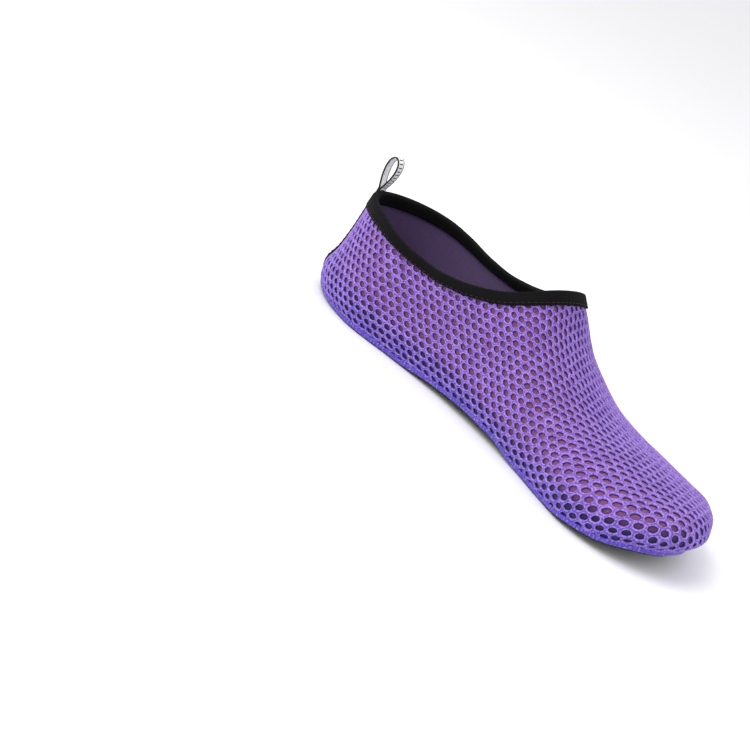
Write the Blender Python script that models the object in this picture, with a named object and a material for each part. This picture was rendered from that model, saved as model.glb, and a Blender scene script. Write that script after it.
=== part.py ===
"""Water shoe for the left foot: a mesh sock with a bound collar on a thin rubber sole.

X runs from heel to toe, +Y is the outer side of the foot and +Z is up. The origin is the middle
of the heel's flat spot on the ground. Lengths are in metres.

The upper, the overlays and the soles are all worked out from one closed form, the last. Its
cross sections are two half superellipses that meet at the widest height. A table gives them as
shares of the driving sizes at a few places along the foot.
"""
import bpy
import numpy as np

# Driving sizes of the last
LENGTH = 0.248
BALL_WIDTH = 0.094
INSTEP_HEIGHT = 0.070
HEEL_HEIGHT = 0.057
TOE_SPRING = 0.0108
ARCH_LIFT = 0.0035
TOE_TUCK = 0.0035

# Wall, overlays and soles
UPPER_WALL = 0.0015
CLEARANCE = 0.0003
BINDING_WIDTH = 0.0059
BINDING_THICKNESS = 0.0008
BINDING_CORNER = 0.4
TAPE_WIDTH = 0.016
TAPE_THICKNESS = 0.0008
TAPE_FOOT = 0.009
SOLE_THICKNESS = 0.002
SOLE_INSET = 0.001
SOLE_EDGE_ROUND = 0.0007
SOLE_EDGE_NICK = 0.3
GROOVE_WIDTH = 0.0022
GROOVE_DEPTH = 0.0007
GROOVE_DRAFT = 0.0004
INSOLE_THICKNESS = 0.0025
INSOLE_EDGE_ROUND = 0.0006
INSOLE_GAP = 0.0012

# Pull loop, a ribbon stood on edge behind the collar
RIBBON_WIDTH = 0.005
RIBBON_THICKNESS = 0.0007
LOOP_HEIGHT = 0.0172
LOOP_WIDTH = 0.0062
LOOP_LEAN = 5.0
LOOP_TAIL = 0.012

# Places along the foot, as shares of its length
HEEL_REST = 0.15
GROOVES = (0.205, 0.245, 0.615, 0.655, 0.745, 0.785, 0.825, 0.865)

# Depth below the sole's top where the lower half of a section would close
LOWER_DEPTH = 0.011
LOWER_FULLNESS = 2.6

# Sections of the last. "along" is a share of LENGTH, "outer", "inner" and "lean" of BALL_WIDTH,
# "widest" and "top" of INSTEP_HEIGHT. "lean" is how far the top shifts to the big-toe side, and
# "fullness" is the upper half's exponent, 2 for an ellipse and more for squarer shoulders.
SECTION_COLUMNS = ("along", "outer", "inner", "widest", "top", "lean", "fullness")
SECTIONS = (
    (0.000, 0.000, 0.000, 0.300, 1.450, 0.000, 2.60),
    (0.045, 0.230, 0.200, 0.295, 1.450, 0.000, 2.60),
    (0.100, 0.305, 0.285, 0.310, 1.450, 0.000, 2.60),
    (0.180, 0.345, 0.335, 0.335, 1.420, 0.010, 2.60),
    (0.290, 0.355, 0.305, 0.330, 1.330, 0.030, 2.60),
    (0.390, 0.370, 0.297, 0.330, 1.140, 0.070, 2.40),
    (0.480, 0.395, 0.308, 0.300, 1.110, 0.050, 2.15),
    (0.570, 0.440, 0.345, 0.300, 0.750, 0.085, 2.08),
    (0.660, 0.460, 0.385, 0.240, 0.545, 0.085, 2.00),
    (0.740, 0.483, 0.450, 0.220, 0.470, 0.080, 1.95),
    (0.820, 0.454, 0.505, 0.220, 0.445, 0.065, 1.95),
    (0.890, 0.400, 0.495, 0.235, 0.420, 0.050, 2.05),
    (0.950, 0.220, 0.430, 0.255, 0.410, 0.040, 2.10),
    (1.000, -0.150, 0.165, 0.275, 0.275, 0.000, 2.10),
)

# Underside of the sole: shares of ARCH_LIFT and TOE_SPRING at a share of LENGTH
GROUND_COLUMNS = ("along", "arch", "spring")
GROUND = (
    (0.000, 0.00, 0.23),
    (0.045, 0.00, 0.055),
    (0.100, 0.00, 0.00),
    (0.290, 0.00, 0.00),
    (0.390, 0.63, 0.00),
    (0.480, 1.00, 0.00),
    (0.570, 0.91, 0.00),
    (0.660, 0.00, 0.00),
    (0.740, 0.00, 0.00),
    (0.820, 0.00, 0.14),
    (0.890, 0.00, 0.36),
    (0.950, 0.00, 0.70),
    (1.000, 0.00, 1.00),
)

# Curve of the heel's back: how far forward it lies at a height, both as shares of HEEL_HEIGHT
BACK_COLUMNS = ("height", "inset")
BACK = (
    (0.000, 0.085),
    (0.088, -0.045),
    (0.210, -0.060),
    (0.386, 0.008),
    (0.600, 0.058),
    (0.842, 0.094),
    (1.088, 0.132),
    (1.400, 0.185),
)
BACK_REACH = 0.38
TUCK_REACH = 0.22

# Collar line seen from the side: height as a share of HEEL_HEIGHT at a share of LENGTH
COLLAR_COLUMNS = ("along", "height")
COLLAR = (
    (0.000, 0.968),
    (0.080, 0.970),
    (0.121, 0.964),
    (0.177, 0.932),
    (0.240, 0.890),
    (0.290, 0.880),
    (0.345, 0.912),
    (0.394, 0.970),
    (0.440, 1.047),
    (0.490, 1.180),
    (0.585, 1.600),
)

# Fineness of the meshes
AROUND = 84
FINE_ROWS = 60
UPPER_ROWS = 15
ROW_CROWDING = 1.6
SOLE_STATIONS = 34
LOOP_STEPS = 36
TAPE_ROWS = 16
TAPE_COLUMNS = 11
TAIL_ROWS = 5
BISECTIONS = 34

# Ray sources inside the last, as shares of LENGTH, LENGTH, BALL_WIDTH and INSTEP_HEIGHT
SPINE_FIRST = 0.14
SPINE_LAST = 0.86
SPINE_TOE_SHIFT = -0.053
SPINE_TOE_FROM = 0.76
SPINE_TOE_REACH = 0.12
SPINE_LOW = 0.23
SPINE_HIGH = 0.43
RAY_LENGTH = 1.1

# The upper ray sources lie this share of the way to the collar line, moved forward by a share of
# LENGTH, and stop short of the throat
HIGH_SHARE = 0.75
HIGH_SHIFT = 0.08
HIGH_STOP = 0.9

# How far past its end a bent part of the last still grows
OVERRUN = 1.5

# Steps of the lines round the collar and the foot before they are spaced evenly
LINE_STEPS = 200

# Largest value of sin(t) * sin(t / 2), which gives the pull loop its width
TEARDROP_PEAK = 0.77

MATERIALS = {
    "mesh_violet": ((0.250, 0.133, 0.445), 0.75),
    "tape_black": ((0.011, 0.009, 0.010), 0.85),
    "ribbon_white": ((0.640, 0.640, 0.680), 0.55),
    "rubber_black": ((0.008, 0.007, 0.008), 0.60),
    "foam_black": ((0.020, 0.018, 0.022), 0.95),
}


def table(rows, columns):
    """Give a table's columns as arrays by name."""
    values = np.array(rows, float)
    return {name: values[:, k] for k, name in enumerate(columns)}


def smooth(x, y, at):
    """Cubic curve through (x, y) that never overshoots its points, read at the values `at`.

    The slope at an inner point is the weighted harmonic mean of the slopes beside it, or zero
    at a high or low point.
    """
    step = np.diff(x)
    slope = np.diff(y) / step
    before = slope[:-1]
    after = slope[1:]
    same = before * after > 0
    weight_a = 2 * step[1:] + step[:-1]
    weight_b = step[1:] + 2 * step[:-1]
    safe_a = np.where(same, before, 1.0)
    safe_b = np.where(same, after, 1.0)
    mean = (weight_a + weight_b) / (weight_a / safe_a + weight_b / safe_b)
    tangent = np.concatenate([slope[:1], np.where(same, mean, 0.0), slope[-1:]])
    at = np.clip(at, x[0], x[-1])
    i = np.clip(np.searchsorted(x, at, side="right") - 1, 0, len(x) - 2)
    h = step[i]
    t = (at - x[i]) / h
    from_left = y[i] * (1 + 2 * t) * (1 - t) ** 2 + tangent[i] * h * t * (1 - t) ** 2
    from_right = y[i + 1] * t * t * (3 - 2 * t) + tangent[i + 1] * h * t * t * (t - 1)
    return from_left + from_right


def turn(share):
    """Angle that runs evenly round a half circle as the share runs from 0 to 1."""
    return np.arccos(np.clip(1 - 2 * np.asarray(share, float), -1, 1))


SECTION = table(SECTIONS, SECTION_COLUMNS)
UNDER = table(GROUND, GROUND_COLUMNS)
HEEL_BACK = table(BACK, BACK_COLUMNS)
COLLAR_LINE = table(COLLAR, COLLAR_COLUMNS)


def section(along, column):
    """One column of the section table, read on the half circle so that both ends are round."""
    return smooth(turn(SECTION["along"]), SECTION[column], turn(along))


def underside(along):
    """Height of the sole's underside."""
    angle = turn(along)
    places = turn(UNDER["along"])
    arch = smooth(places, UNDER["arch"], angle) * ARCH_LIFT
    return arch + smooth(places, UNDER["spring"], angle) * TOE_SPRING


def fade(distance, reach):
    """Falls smoothly from 1 at no distance to 0 at the reach."""
    t = np.clip(distance / reach, 0, 1)
    return (1 - t) ** 2 * (1 + 2 * t)


def station(x, z):
    """Share of the length that a point belongs to.

    The heel's back curve and the tuck under the toe bend the end sections, and fade out along
    the foot.
    """
    inset = smooth(HEEL_BACK["height"], HEEL_BACK["inset"], z / HEEL_HEIGHT) * HEEL_HEIGHT
    toe_widest = SECTION["widest"][-1] * INSTEP_HEIGHT
    toe_floor = TOE_SPRING + SOLE_THICKNESS
    under = np.clip((toe_widest - z) / max(toe_widest - toe_floor, CLEARANCE), 0, OVERRUN)
    back = inset * fade(x, BACK_REACH * LENGTH)
    front = TOE_TUCK * under ** 2 * fade(LENGTH - x, TUCK_REACH * LENGTH)
    return (x - back + front) / LENGTH


def halves(along, z):
    """Centre, half width, half height and exponent of the half section that holds height z."""
    outer = section(along, "outer") * BALL_WIDTH
    inner = section(along, "inner") * BALL_WIDTH
    widest = section(along, "widest") * INSTEP_HEIGHT
    top = section(along, "top") * INSTEP_HEIGHT
    bottom = underside(along) + SOLE_THICKNESS - LOWER_DEPTH
    above = z >= widest
    height = np.maximum(np.where(above, top - widest, widest - bottom), 1e-6)
    rise = (z - widest) / height
    bend = np.where(above, np.clip(rise, 0, OVERRUN) ** 2, 0)
    lean = section(along, "lean") * BALL_WIDTH * bend
    exponent = np.where(above, section(along, "fullness"), LOWER_FULLNESS)
    centre = (outer - inner) / 2 - lean
    return centre, np.maximum((outer + inner) / 2, 1e-6), rise, exponent


def level(points):
    """Below zero inside the last and above zero outside."""
    x, y, z = points[..., 0], points[..., 1], points[..., 2]
    along = station(x, z)
    beyond = np.maximum(along - 1, 0) + np.maximum(-along, 0)
    centre, half, rise, exponent = halves(np.clip(along, 1e-6, 1 - 1e-6), z)
    return (np.abs(y - centre) / half) ** exponent + np.abs(rise) ** exponent - 1 + beyond * 1e5


def cast(origins, directions):
    """Where rays from inside leave the last, found by halving."""
    near = np.zeros(len(origins))
    far = np.full(len(origins), RAY_LENGTH * LENGTH)
    for _ in range(BISECTIONS):
        middle = (near + far) / 2
        inside = level(origins + directions * middle[:, None]) < 0
        near = np.where(inside, middle, near)
        far = np.where(inside, far, middle)
    return origins + directions * ((near + far) / 2)[:, None]


def edge(x, z, side):
    """Y of the last's surface at x and z, on the outer side (+1) or the inner side (-1)."""
    centre, half, rise, exponent = halves(np.clip(station(x, z), 1e-6, 1 - 1e-6), z)
    return centre + side * half * (1 - np.clip(np.abs(rise), 0, 1) ** exponent) ** (1 / exponent)


def halve(low, high, is_low):
    """Root of a test that is true below it."""
    for _ in range(BISECTIONS):
        middle = (low + high) / 2
        if is_low(middle):
            low = middle
        else:
            high = middle
    return (low + high) / 2


def collar_height(x):
    return smooth(COLLAR_LINE["along"], COLLAR_LINE["height"], x / LENGTH) * HEEL_HEIGHT


def sole_top(x):
    return underside(np.clip(x / LENGTH, 0, 1)) + SOLE_THICKNESS


def loop_line(first, last, height, steps, grow=0.0, stations=None):
    """Closed line where the last meets a height that depends on x.

    It starts at the heel, runs forward on the outer side and back on the inner one. Places along
    it are spaced as on a half circle, so both ends are round, and `grow` widens it all round.
    """
    if stations is None:
        stations = (1 - np.cos(np.linspace(0, np.pi, steps))) / 2
    angle = turn(stations)
    x = first + (last - first) * stations
    z = height(x)
    sides = []
    for side in (1, -1):
        y = edge(x, z, side) + side * grow * np.sin(angle)
        sides.append(np.stack([x - grow * np.cos(angle), y, z], axis=1))
    return sides


def closed_loop(sides):
    """Join the outer and inner sides into one loop that starts at the heel."""
    outer, inner = sides
    heel = (outer[:1] + inner[:1]) / 2
    toe = (outer[-1:] + inner[-1:]) / 2
    return np.vstack([heel, outer[1:-1], toe, inner[-2:0:-1]])


def resample(loop, count):
    """Space points evenly along a closed loop."""
    ring = np.vstack([loop, loop[:1]])
    gone = np.concatenate([[0], np.cumsum(np.linalg.norm(np.diff(ring, axis=0), axis=1))])
    want = np.linspace(0, gone[-1], count + 1)[:-1]
    return np.stack([np.interp(want, gone, ring[:, k]) for k in range(3)], axis=1)


def collar_loop():
    """Line where the collar cuts the last."""
    heel = halve(0.0, 0.2 * LENGTH, lambda x: station(x, collar_height(x)) < 0)

    def under_top(x):
        along = station(x, collar_height(x))
        return section(along, "top") * INSTEP_HEIGHT > collar_height(x)

    throat = halve(0.3 * LENGTH, 0.8 * LENGTH, under_top)
    return closed_loop(loop_line(heel, throat, collar_height, LINE_STEPS))


def foot_ends():
    """X of the last's back and tip where it meets the sole."""
    back = halve(-0.1 * LENGTH, 0.2 * LENGTH, lambda x: station(x, sole_top(x)) < 0)
    tip = halve(0.8 * LENGTH, 1.1 * LENGTH, lambda x: station(x, sole_top(x)) < 1)
    return back, tip


def foot_height(x):
    return sole_top(x) + CLEARANCE


def foot_loop():
    """Line where the upper's outside ends, just above the sole."""
    back, tip = foot_ends()
    return closed_loop(loop_line(back, tip, foot_height, LINE_STEPS))


def unit(vectors):
    return vectors / np.maximum(np.linalg.norm(vectors, axis=-1, keepdims=True), 1e-12)


def spine(loop, height):
    """Ray sources for a loop, on a bent line inside the last."""
    first, last = SPINE_FIRST * LENGTH, SPINE_LAST * LENGTH
    x = np.clip(loop[:, 0], first, last)
    bend = np.clip((loop[:, 0] / LENGTH - SPINE_TOE_FROM) / SPINE_TOE_REACH, 0, 1)
    y = SPINE_TOE_SHIFT * BALL_WIDTH * bend
    return np.stack([x, y, np.full(len(x), height)], axis=1)


def cast_rows(foot, collar):
    """Fine grid of the last's surface between the foot line and the collar line.

    Each row's rays start and point between those of the foot line and the collar line.
    """
    low = spine(foot, SPINE_LOW * INSTEP_HEIGHT)
    high = spine(collar, SPINE_HIGH * INSTEP_HEIGHT)
    throat = collar[:, 0].max()
    forward = collar[:, 0] * HIGH_SHARE + HIGH_SHIFT * LENGTH
    high[:, 0] = np.clip(forward, SPINE_FIRST * LENGTH, throat * HIGH_STOP)
    down = unit(foot - low)
    up = unit(collar - high)
    angle = np.arccos(np.clip((down * up).sum(axis=1), -1, 1))[:, None]
    swing = np.maximum(np.sin(angle), 1e-6)
    rows = [foot]
    for share in np.linspace(0, 1, FINE_ROWS + 1)[1:-1]:
        aim = (np.sin((1 - share) * angle) * down + np.sin(share * angle) * up) / swing
        rows.append(cast(low * (1 - share) + high * share, unit(aim)))
    rows.append(collar)
    return np.array(rows)


def outer_rows():
    """Grid of the upper's outside, from the sole (row 0) to the collar (last row).

    The top rows lie half and one binding width below the collar; the rest crowd together
    towards the sole, where the wall turns under.
    """
    fine = cast_rows(resample(foot_loop(), AROUND), resample(collar_loop(), AROUND))
    steps = np.linalg.norm(np.diff(fine, axis=0), axis=2)
    gone = np.concatenate([np.zeros((1, AROUND)), np.cumsum(steps, axis=0)])
    rows = np.empty((UPPER_ROWS + 3, AROUND, 3))
    for j in range(AROUND):
        whole = gone[-1, j]
        low = (whole - BINDING_WIDTH) * np.linspace(0, 1, UPPER_ROWS + 1) ** ROW_CROWDING
        places = np.concatenate([low, [whole - BINDING_WIDTH / 2, whole]])
        for k in range(3):
            rows[:, j, k] = np.interp(places, gone[:, j], fine[:, j, k])
    return rows


def row_normals(rows):
    """Outward normals of a grid whose rows are closed loops."""
    around = np.roll(rows, -1, axis=1) - np.roll(rows, 1, axis=1)
    upward = np.gradient(rows, axis=0)
    return unit(np.cross(upward, around))


def wall_sections(rows, normals):
    """Outer and inner faces of the wall; the foot's inner edge stays at the foot's height."""
    inner = rows - normals * UPPER_WALL
    flat = normals[0] * (1, 1, 0)
    foot = rows[0] - unit(flat) * UPPER_WALL
    foot[:, 2] = foot_height(foot[:, 0])
    inner[0] = foot
    return inner


def along_columns(rows, normals, depth, offset):
    """Points at a distance below the collar, measured down the wall, moved out by an offset.

    A negative depth goes on past the collar in the wall's own direction.
    """
    top = rows[::-1]
    out = normals[::-1]
    steps = np.linalg.norm(np.diff(top, axis=0), axis=2)
    gone = np.concatenate([np.zeros((1, rows.shape[1])), np.cumsum(steps, axis=0)])
    points = np.empty((rows.shape[1], 3))
    for j in range(rows.shape[1]):
        if depth < 0:
            direction = unit(top[0, j] - top[1, j])
            points[j] = top[0, j] - direction * depth + out[0, j] * offset
            continue
        place = [np.interp(depth, gone[:, j], top[:, j, k]) for k in range(3)]
        normal = unit(np.array([np.interp(depth, gone[:, j], out[:, j, k]) for k in range(3)]))
        points[j] = np.array(place) + normal * offset
    return points


def add_object(name, vertices, faces, material_name):
    """Make an object from last coordinates, shift it to the part's origin and shade it."""
    mesh = bpy.data.meshes.new(name)
    shifted = np.asarray(vertices) - (HEEL_REST * LENGTH, 0, 0)
    mesh.from_pydata(shifted.tolist(), [], faces)
    mesh.validate()
    mesh.shade_smooth()
    mesh.set_sharp_from_angle(angle=np.radians(40))
    mesh.materials.append(material(material_name))
    thing = bpy.data.objects.new(name, mesh)
    bpy.context.scene.collection.objects.link(thing)
    return thing


def material(name):
    """Principled material with the piece's colour and roughness."""
    made = bpy.data.materials.get(name)
    if made:
        return made
    colour, roughness = MATERIALS[name]
    made = bpy.data.materials.new(name)
    made.use_nodes = True
    shader = made.node_tree.nodes["Principled BSDF"]
    shader.inputs["Base Color"].default_value = (*colour, 1)
    shader.inputs["Roughness"].default_value = roughness
    shader.inputs["Metallic"].default_value = 0.0
    return made


def quads(count, width, first=0, wrap=True):
    """Faces between rows of points; each row is closed, and the rows may close too."""
    faces = []
    for i in range(count if wrap else count - 1):
        here = first + i * width
        there = first + (i + 1) % count * width
        for j in range(width):
            k = (j + 1) % width
            faces.append((here + j, there + j, there + k, here + k))
    return faces


def ring(name, rows, material_name):
    """Closed band: rows of closed loops that also close on each other."""
    rows = np.asarray(rows)
    count, width = rows.shape[:2]
    return add_object(name, rows.reshape(-1, 3), quads(count, width), material_name)


def bar(name, sections, material_name):
    """Solid between closed cross sections, with its two ends filled."""
    sections = np.asarray(sections)
    count, width = sections.shape[:2]
    faces = quads(count, width, wrap=False)
    faces.append(tuple(range(width)))
    faces.append(tuple(range(count * width - 1, (count - 1) * width - 1, -1)))
    return add_object(name, sections.reshape(-1, 3), faces, material_name)


def make_upper(rows, normals):
    """Mesh wall, open at the collar and along the foot."""
    inner = wall_sections(rows, normals)
    return ring("upper", np.concatenate([rows, inner[::-1]]), "mesh_violet")


def make_binding(rows, normals):
    """Tape folded over the collar's edge, a rounded U round the wall."""
    inside = -UPPER_WALL - CLEARANCE
    near = CLEARANCE
    far = near + BINDING_THICKNESS
    back = inside - BINDING_THICKNESS
    corner = BINDING_CORNER * BINDING_THICKNESS
    half_way = BINDING_WIDTH / 2
    profile = [(BINDING_WIDTH, near), (BINDING_WIDTH, far - corner), (BINDING_WIDTH - corner, far)]
    profile.append((half_way, far))
    for angle in np.radians([0, 45, 90, 135, 180]):
        across = (far + back) / 2 + (far - back) / 2 * np.cos(angle)
        profile.append((-far * np.sin(angle), across))
    profile += [(half_way, back), (BINDING_WIDTH, back), (BINDING_WIDTH, inside)]
    profile += [(half_way, inside), (-CLEARANCE, inside), (-CLEARANCE, near), (half_way, near)]
    loops = [along_columns(rows, normals, depth, offset) for depth, offset in profile]
    return ring("collar_binding", loops, "tape_black")


def heel_surface(y, z):
    """Points of the heel's outside at side offsets and heights, and their outward normals."""
    sources = np.stack([np.full(y.shape, SPINE_FIRST * LENGTH), y, z], axis=-1).reshape(-1, 3)
    points = cast(sources, np.broadcast_to((-1.0, 0.0, 0.0), sources.shape))
    small = 1e-3 * CLEARANCE * np.eye(3)
    slopes = [level(points + step) - level(points - step) for step in small]
    return points.reshape(*y.shape, 3), unit(np.stack(slopes, axis=-1)).reshape(*y.shape, 3)


def make_heel_tape(rows, normals):
    """Tape over the back seam, from above the sole to the binding."""
    top = along_columns(rows, normals, BINDING_WIDTH + 2 * CLEARANCE, 0.0)[0, 2]
    across = np.linspace(-1, 1, TAPE_COLUMNS) * TAPE_WIDTH / 2
    z, y = np.meshgrid(np.linspace(TAPE_FOOT, top, TAPE_ROWS), across, indexing="ij")
    points, out = heel_surface(y, z)
    outside = points + out * (CLEARANCE + TAPE_THICKNESS)
    inside = points + out * CLEARANCE
    return bar("heel_tape", np.concatenate([outside, inside[:, ::-1]], axis=1), "tape_black")


def loop_path(rows, normals):
    """Middle of the ribbon in the plane y = 0, with its tails lying on the binding and tape.

    The open part is a teardrop: its height follows 1 - cos(t), its width sin(t) * sin(t / 2).
    """
    layer = RIBBON_THICKNESS + CLEARANCE
    near = CLEARANCE + BINDING_THICKNESS + CLEARANCE + RIBBON_THICKNESS / 2
    tail = np.linspace(LOOP_TAIL, 0, TAIL_ROWS)

    def tail_points(offset):
        return [along_columns(rows, normals, depth, offset)[0] for depth in tail]

    front = tail_points(near)
    behind = tail_points(near + layer)
    lean = np.radians(LOOP_LEAN)
    up = np.array([np.sin(lean), 0, np.cos(lean)])
    forward = np.array([np.cos(lean), 0, -np.sin(lean)])
    base = (front[-1] + behind[-1]) / 2 + up * (BINDING_THICKNESS + 2 * CLEARANCE)
    angle = np.linspace(0, 2 * np.pi, LOOP_STEPS + 1)
    teardrop = LOOP_WIDTH / 2 / TEARDROP_PEAK * np.sin(angle) * np.sin(angle / 2)
    across = teardrop + layer / 2 * np.cos(angle / 2)
    rise = LOOP_HEIGHT * (1 - np.cos(angle)) / 2
    drop = base + across[:, None] * forward + rise[:, None] * up
    return np.vstack([front, drop, behind[::-1]])


def make_pull_loop(rows, normals):
    """Ribbon of constant thickness along its path."""
    path = loop_path(rows, normals)
    path[:, 1] = 0
    ahead = unit(np.gradient(path, axis=0))
    side = np.stack([ahead[:, 2], np.zeros(len(path)), -ahead[:, 0]], axis=1)
    half = RIBBON_WIDTH / 2
    sections = []
    for point, out in zip(path, side):
        left = point + out * RIBBON_THICKNESS / 2
        right = point - out * RIBBON_THICKNESS / 2
        sections.append([left + (0, half, 0), left - (0, half, 0), right - (0, half, 0),
                         right + (0, half, 0)])
    return bar("pull_loop", sections, "ribbon_white")


def groove_stations():
    """Stations of the sole: even ones, and four for each flex groove."""
    back, tip = foot_ends()
    even = (1 - np.cos(np.linspace(0, np.pi, SOLE_STATIONS))) / 2
    length = tip - back
    edges = []
    for share in GROOVES:
        middle = (share * LENGTH - back) / length
        half = GROOVE_WIDTH / 2 / length
        draft = GROOVE_DRAFT / length
        edges += [(middle - half - draft, 0), (middle - half, 1), (middle + half, 1),
                  (middle + half + draft, 0)]
    places = np.array([place for place, _ in edges])
    clear = [s for s in even if np.abs(places - s).min() > 2 * GROOVE_DRAFT / length]
    merged = sorted([(s, 0) for s in clear] + edges)
    return np.array([s for s, _ in merged]), np.array([deep for _, deep in merged], float)


def slab(name, stations, cut, profile, base, material_name):
    """Plate with the last's outline. Each profile row is (growth of the outline, height over
    the base line, whether a groove lifts it), from the underside's edge up to the top's."""
    back, tip = foot_ends()
    loops = []
    for grow, height, grooved in profile:
        sides = loop_line(back, tip, foot_height, None, grow, stations)
        for side in sides:
            side[:, 2] = base(side[:, 0]) + height
            if grooved:
                side[:, 2] += cut * max(GROOVE_DEPTH - height, 0)
        loops.append(closed_loop(sides))
    loops = np.array(loops)
    count, width = loops.shape[:2]
    faces = quads(count, width, wrap=False)
    last = (count - 1) * width
    for i in range((width - 2) // 2 + 1):
        j, k = (width - i) % width, width - i - 1
        low = [i, i + 1, k, j]
        high = [last + j, last + k, last + i + 1, last + i]
        faces.append(tuple(dict.fromkeys(low)))
        faces.append(tuple(dict.fromkeys(high)))
    return add_object(name, loops.reshape(-1, 3), faces, material_name)


def make_outsole():
    """Thin rubber sole with flat heel and ball, raised arch, toe spring and flex grooves."""
    stations, cut = groove_stations()
    side = -SOLE_INSET
    bevel = SOLE_EDGE_ROUND
    nick = bevel * SOLE_EDGE_NICK
    profile = (
        (side - bevel, 0.0, True),
        (side - nick, nick, True),
        (side, bevel, True),
        (side, SOLE_THICKNESS - nick, False),
        (side - nick, SOLE_THICKNESS, False),
    )
    return slab("outsole", stations, cut, profile, lambda x: sole_top(x) - SOLE_THICKNESS,
                "rubber_black")


def make_insole():
    """Foam footbed on the outsole, inside the wall."""
    stations = (1 - np.cos(np.linspace(0, np.pi, SOLE_STATIONS))) / 2
    inset = -UPPER_WALL - INSOLE_GAP
    round_off = INSOLE_EDGE_ROUND
    profile = (
        (inset - round_off, 0.0, False),
        (inset, round_off, False),
        (inset, INSOLE_THICKNESS - round_off, False),
        (inset - round_off, INSOLE_THICKNESS, False),
    )
    return slab("insole", stations, 0.0, profile, foot_height, "foam_black")


def main():
    for thing in list(bpy.data.objects):
        bpy.data.objects.remove(thing, do_unlink=True)
    rows = outer_rows()
    normals = row_normals(rows)
    make_upper(rows, normals)
    make_outsole()
    make_insole()
    make_binding(rows, normals)
    make_heel_tape(rows, normals)
    make_pull_loop(rows, normals)


main()
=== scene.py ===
"""Looks of a mesh water shoe for the left foot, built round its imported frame.

X runs from heel to toe, +Y is the outer side of the foot and +Z is up, in metres. The fabric, its
lining and the overlays are all worked out from the last, the closed form that the shoe is drawn
over, whose sizes are those of the part's source.
"""

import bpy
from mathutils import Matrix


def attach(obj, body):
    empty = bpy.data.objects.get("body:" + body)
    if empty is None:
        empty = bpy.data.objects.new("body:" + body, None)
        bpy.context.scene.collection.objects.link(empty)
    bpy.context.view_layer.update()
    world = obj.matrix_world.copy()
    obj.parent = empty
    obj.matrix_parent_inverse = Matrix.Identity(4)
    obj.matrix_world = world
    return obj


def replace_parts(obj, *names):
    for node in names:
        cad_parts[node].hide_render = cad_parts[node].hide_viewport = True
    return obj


bl_info = {
    "name": "Mesh water shoe",
    "version": (1, 0, 0),
    "blender": (4, 5, 0),
    "location": "3D View > Sidebar > Water shoe",
    "description": "Mesh upper, bound collar, heel tape, pull loop, rubber sole and footbed",
    "category": "Object",
}

import bpy
import numpy as np
from bpy.props import FloatProperty, FloatVectorProperty, IntProperty, PointerProperty
from mathutils import Matrix, Vector

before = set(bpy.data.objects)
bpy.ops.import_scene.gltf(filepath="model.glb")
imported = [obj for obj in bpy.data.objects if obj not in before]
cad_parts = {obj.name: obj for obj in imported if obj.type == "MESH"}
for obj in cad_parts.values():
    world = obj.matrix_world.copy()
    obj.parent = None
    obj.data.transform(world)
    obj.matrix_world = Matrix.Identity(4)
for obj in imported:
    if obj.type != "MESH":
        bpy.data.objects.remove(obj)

MM = 0.001

# Driving sizes of the last, as in the part's source
LENGTH = 0.248
BALL_WIDTH = 0.094
INSTEP_HEIGHT = 0.070
HEEL_HEIGHT = 0.057
TOE_SPRING = 0.0108
ARCH_LIFT = 0.0035
TOE_TUCK = 0.0035
HEEL_REST = 0.15 * LENGTH

# Wall, overlays and soles
UPPER_WALL = 0.0015
CLEARANCE = 0.0003
BINDING_WIDTH = 0.0059
BINDING_THICKNESS = 0.0008
TAPE_WIDTH = 0.016
TAPE_THICKNESS = 0.0008
TAPE_FOOT = 0.009
SOLE_THICKNESS = 0.002
SOLE_INSET = 0.001
SOLE_EDGE_ROUND = 0.0007
INSOLE_THICKNESS = 0.0025
INSOLE_EDGE_ROUND = 0.0006
INSOLE_GAP = 0.0012
INSOLE_CROWN = 0.0005
GROOVES = (0.205, 0.245, 0.615, 0.655, 0.745, 0.785, 0.825, 0.865)
GROOVE_WIDTH = 0.0022
GROOVE_DEPTH = 0.0007
GROOVE_DRAFT = 0.0004

# Pull loop, a ribbon stood on edge behind the collar
RIBBON_WIDTH = 0.005
RIBBON_THICKNESS = 0.0007
LOOP_HEIGHT = 0.0172
LOOP_WIDTH = 0.0062
LOOP_LEAN = 5.0
LOOP_TAIL = 0.012
TEARDROP_PEAK = 0.77

# The lower half of a section would close this far below the sole's top
LOWER_DEPTH = 0.011
LOWER_FULLNESS = 2.6

# Sections of the last. "along" is a share of LENGTH, "outer", "inner" and "lean" of BALL_WIDTH,
# "widest" and "top" of INSTEP_HEIGHT, and "fullness" is the upper half's exponent.
SECTION_COLUMNS = ("along", "outer", "inner", "widest", "top", "lean", "fullness")
SECTIONS = (
    (0.000, 0.000, 0.000, 0.300, 1.450, 0.000, 2.60),
    (0.045, 0.230, 0.200, 0.295, 1.450, 0.000, 2.60),
    (0.100, 0.305, 0.285, 0.310, 1.450, 0.000, 2.60),
    (0.180, 0.345, 0.335, 0.335, 1.420, 0.010, 2.60),
    (0.290, 0.355, 0.305, 0.330, 1.330, 0.030, 2.60),
    (0.390, 0.370, 0.297, 0.330, 1.140, 0.070, 2.40),
    (0.480, 0.395, 0.308, 0.300, 1.110, 0.050, 2.15),
    (0.570, 0.440, 0.345, 0.300, 0.750, 0.085, 2.08),
    (0.660, 0.460, 0.385, 0.240, 0.545, 0.085, 2.00),
    (0.740, 0.483, 0.450, 0.220, 0.470, 0.080, 1.95),
    (0.820, 0.454, 0.505, 0.220, 0.445, 0.065, 1.95),
    (0.890, 0.400, 0.495, 0.235, 0.420, 0.050, 2.05),
    (0.950, 0.220, 0.430, 0.255, 0.410, 0.040, 2.10),
    (1.000, -0.150, 0.165, 0.275, 0.275, 0.000, 2.10),
)

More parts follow.
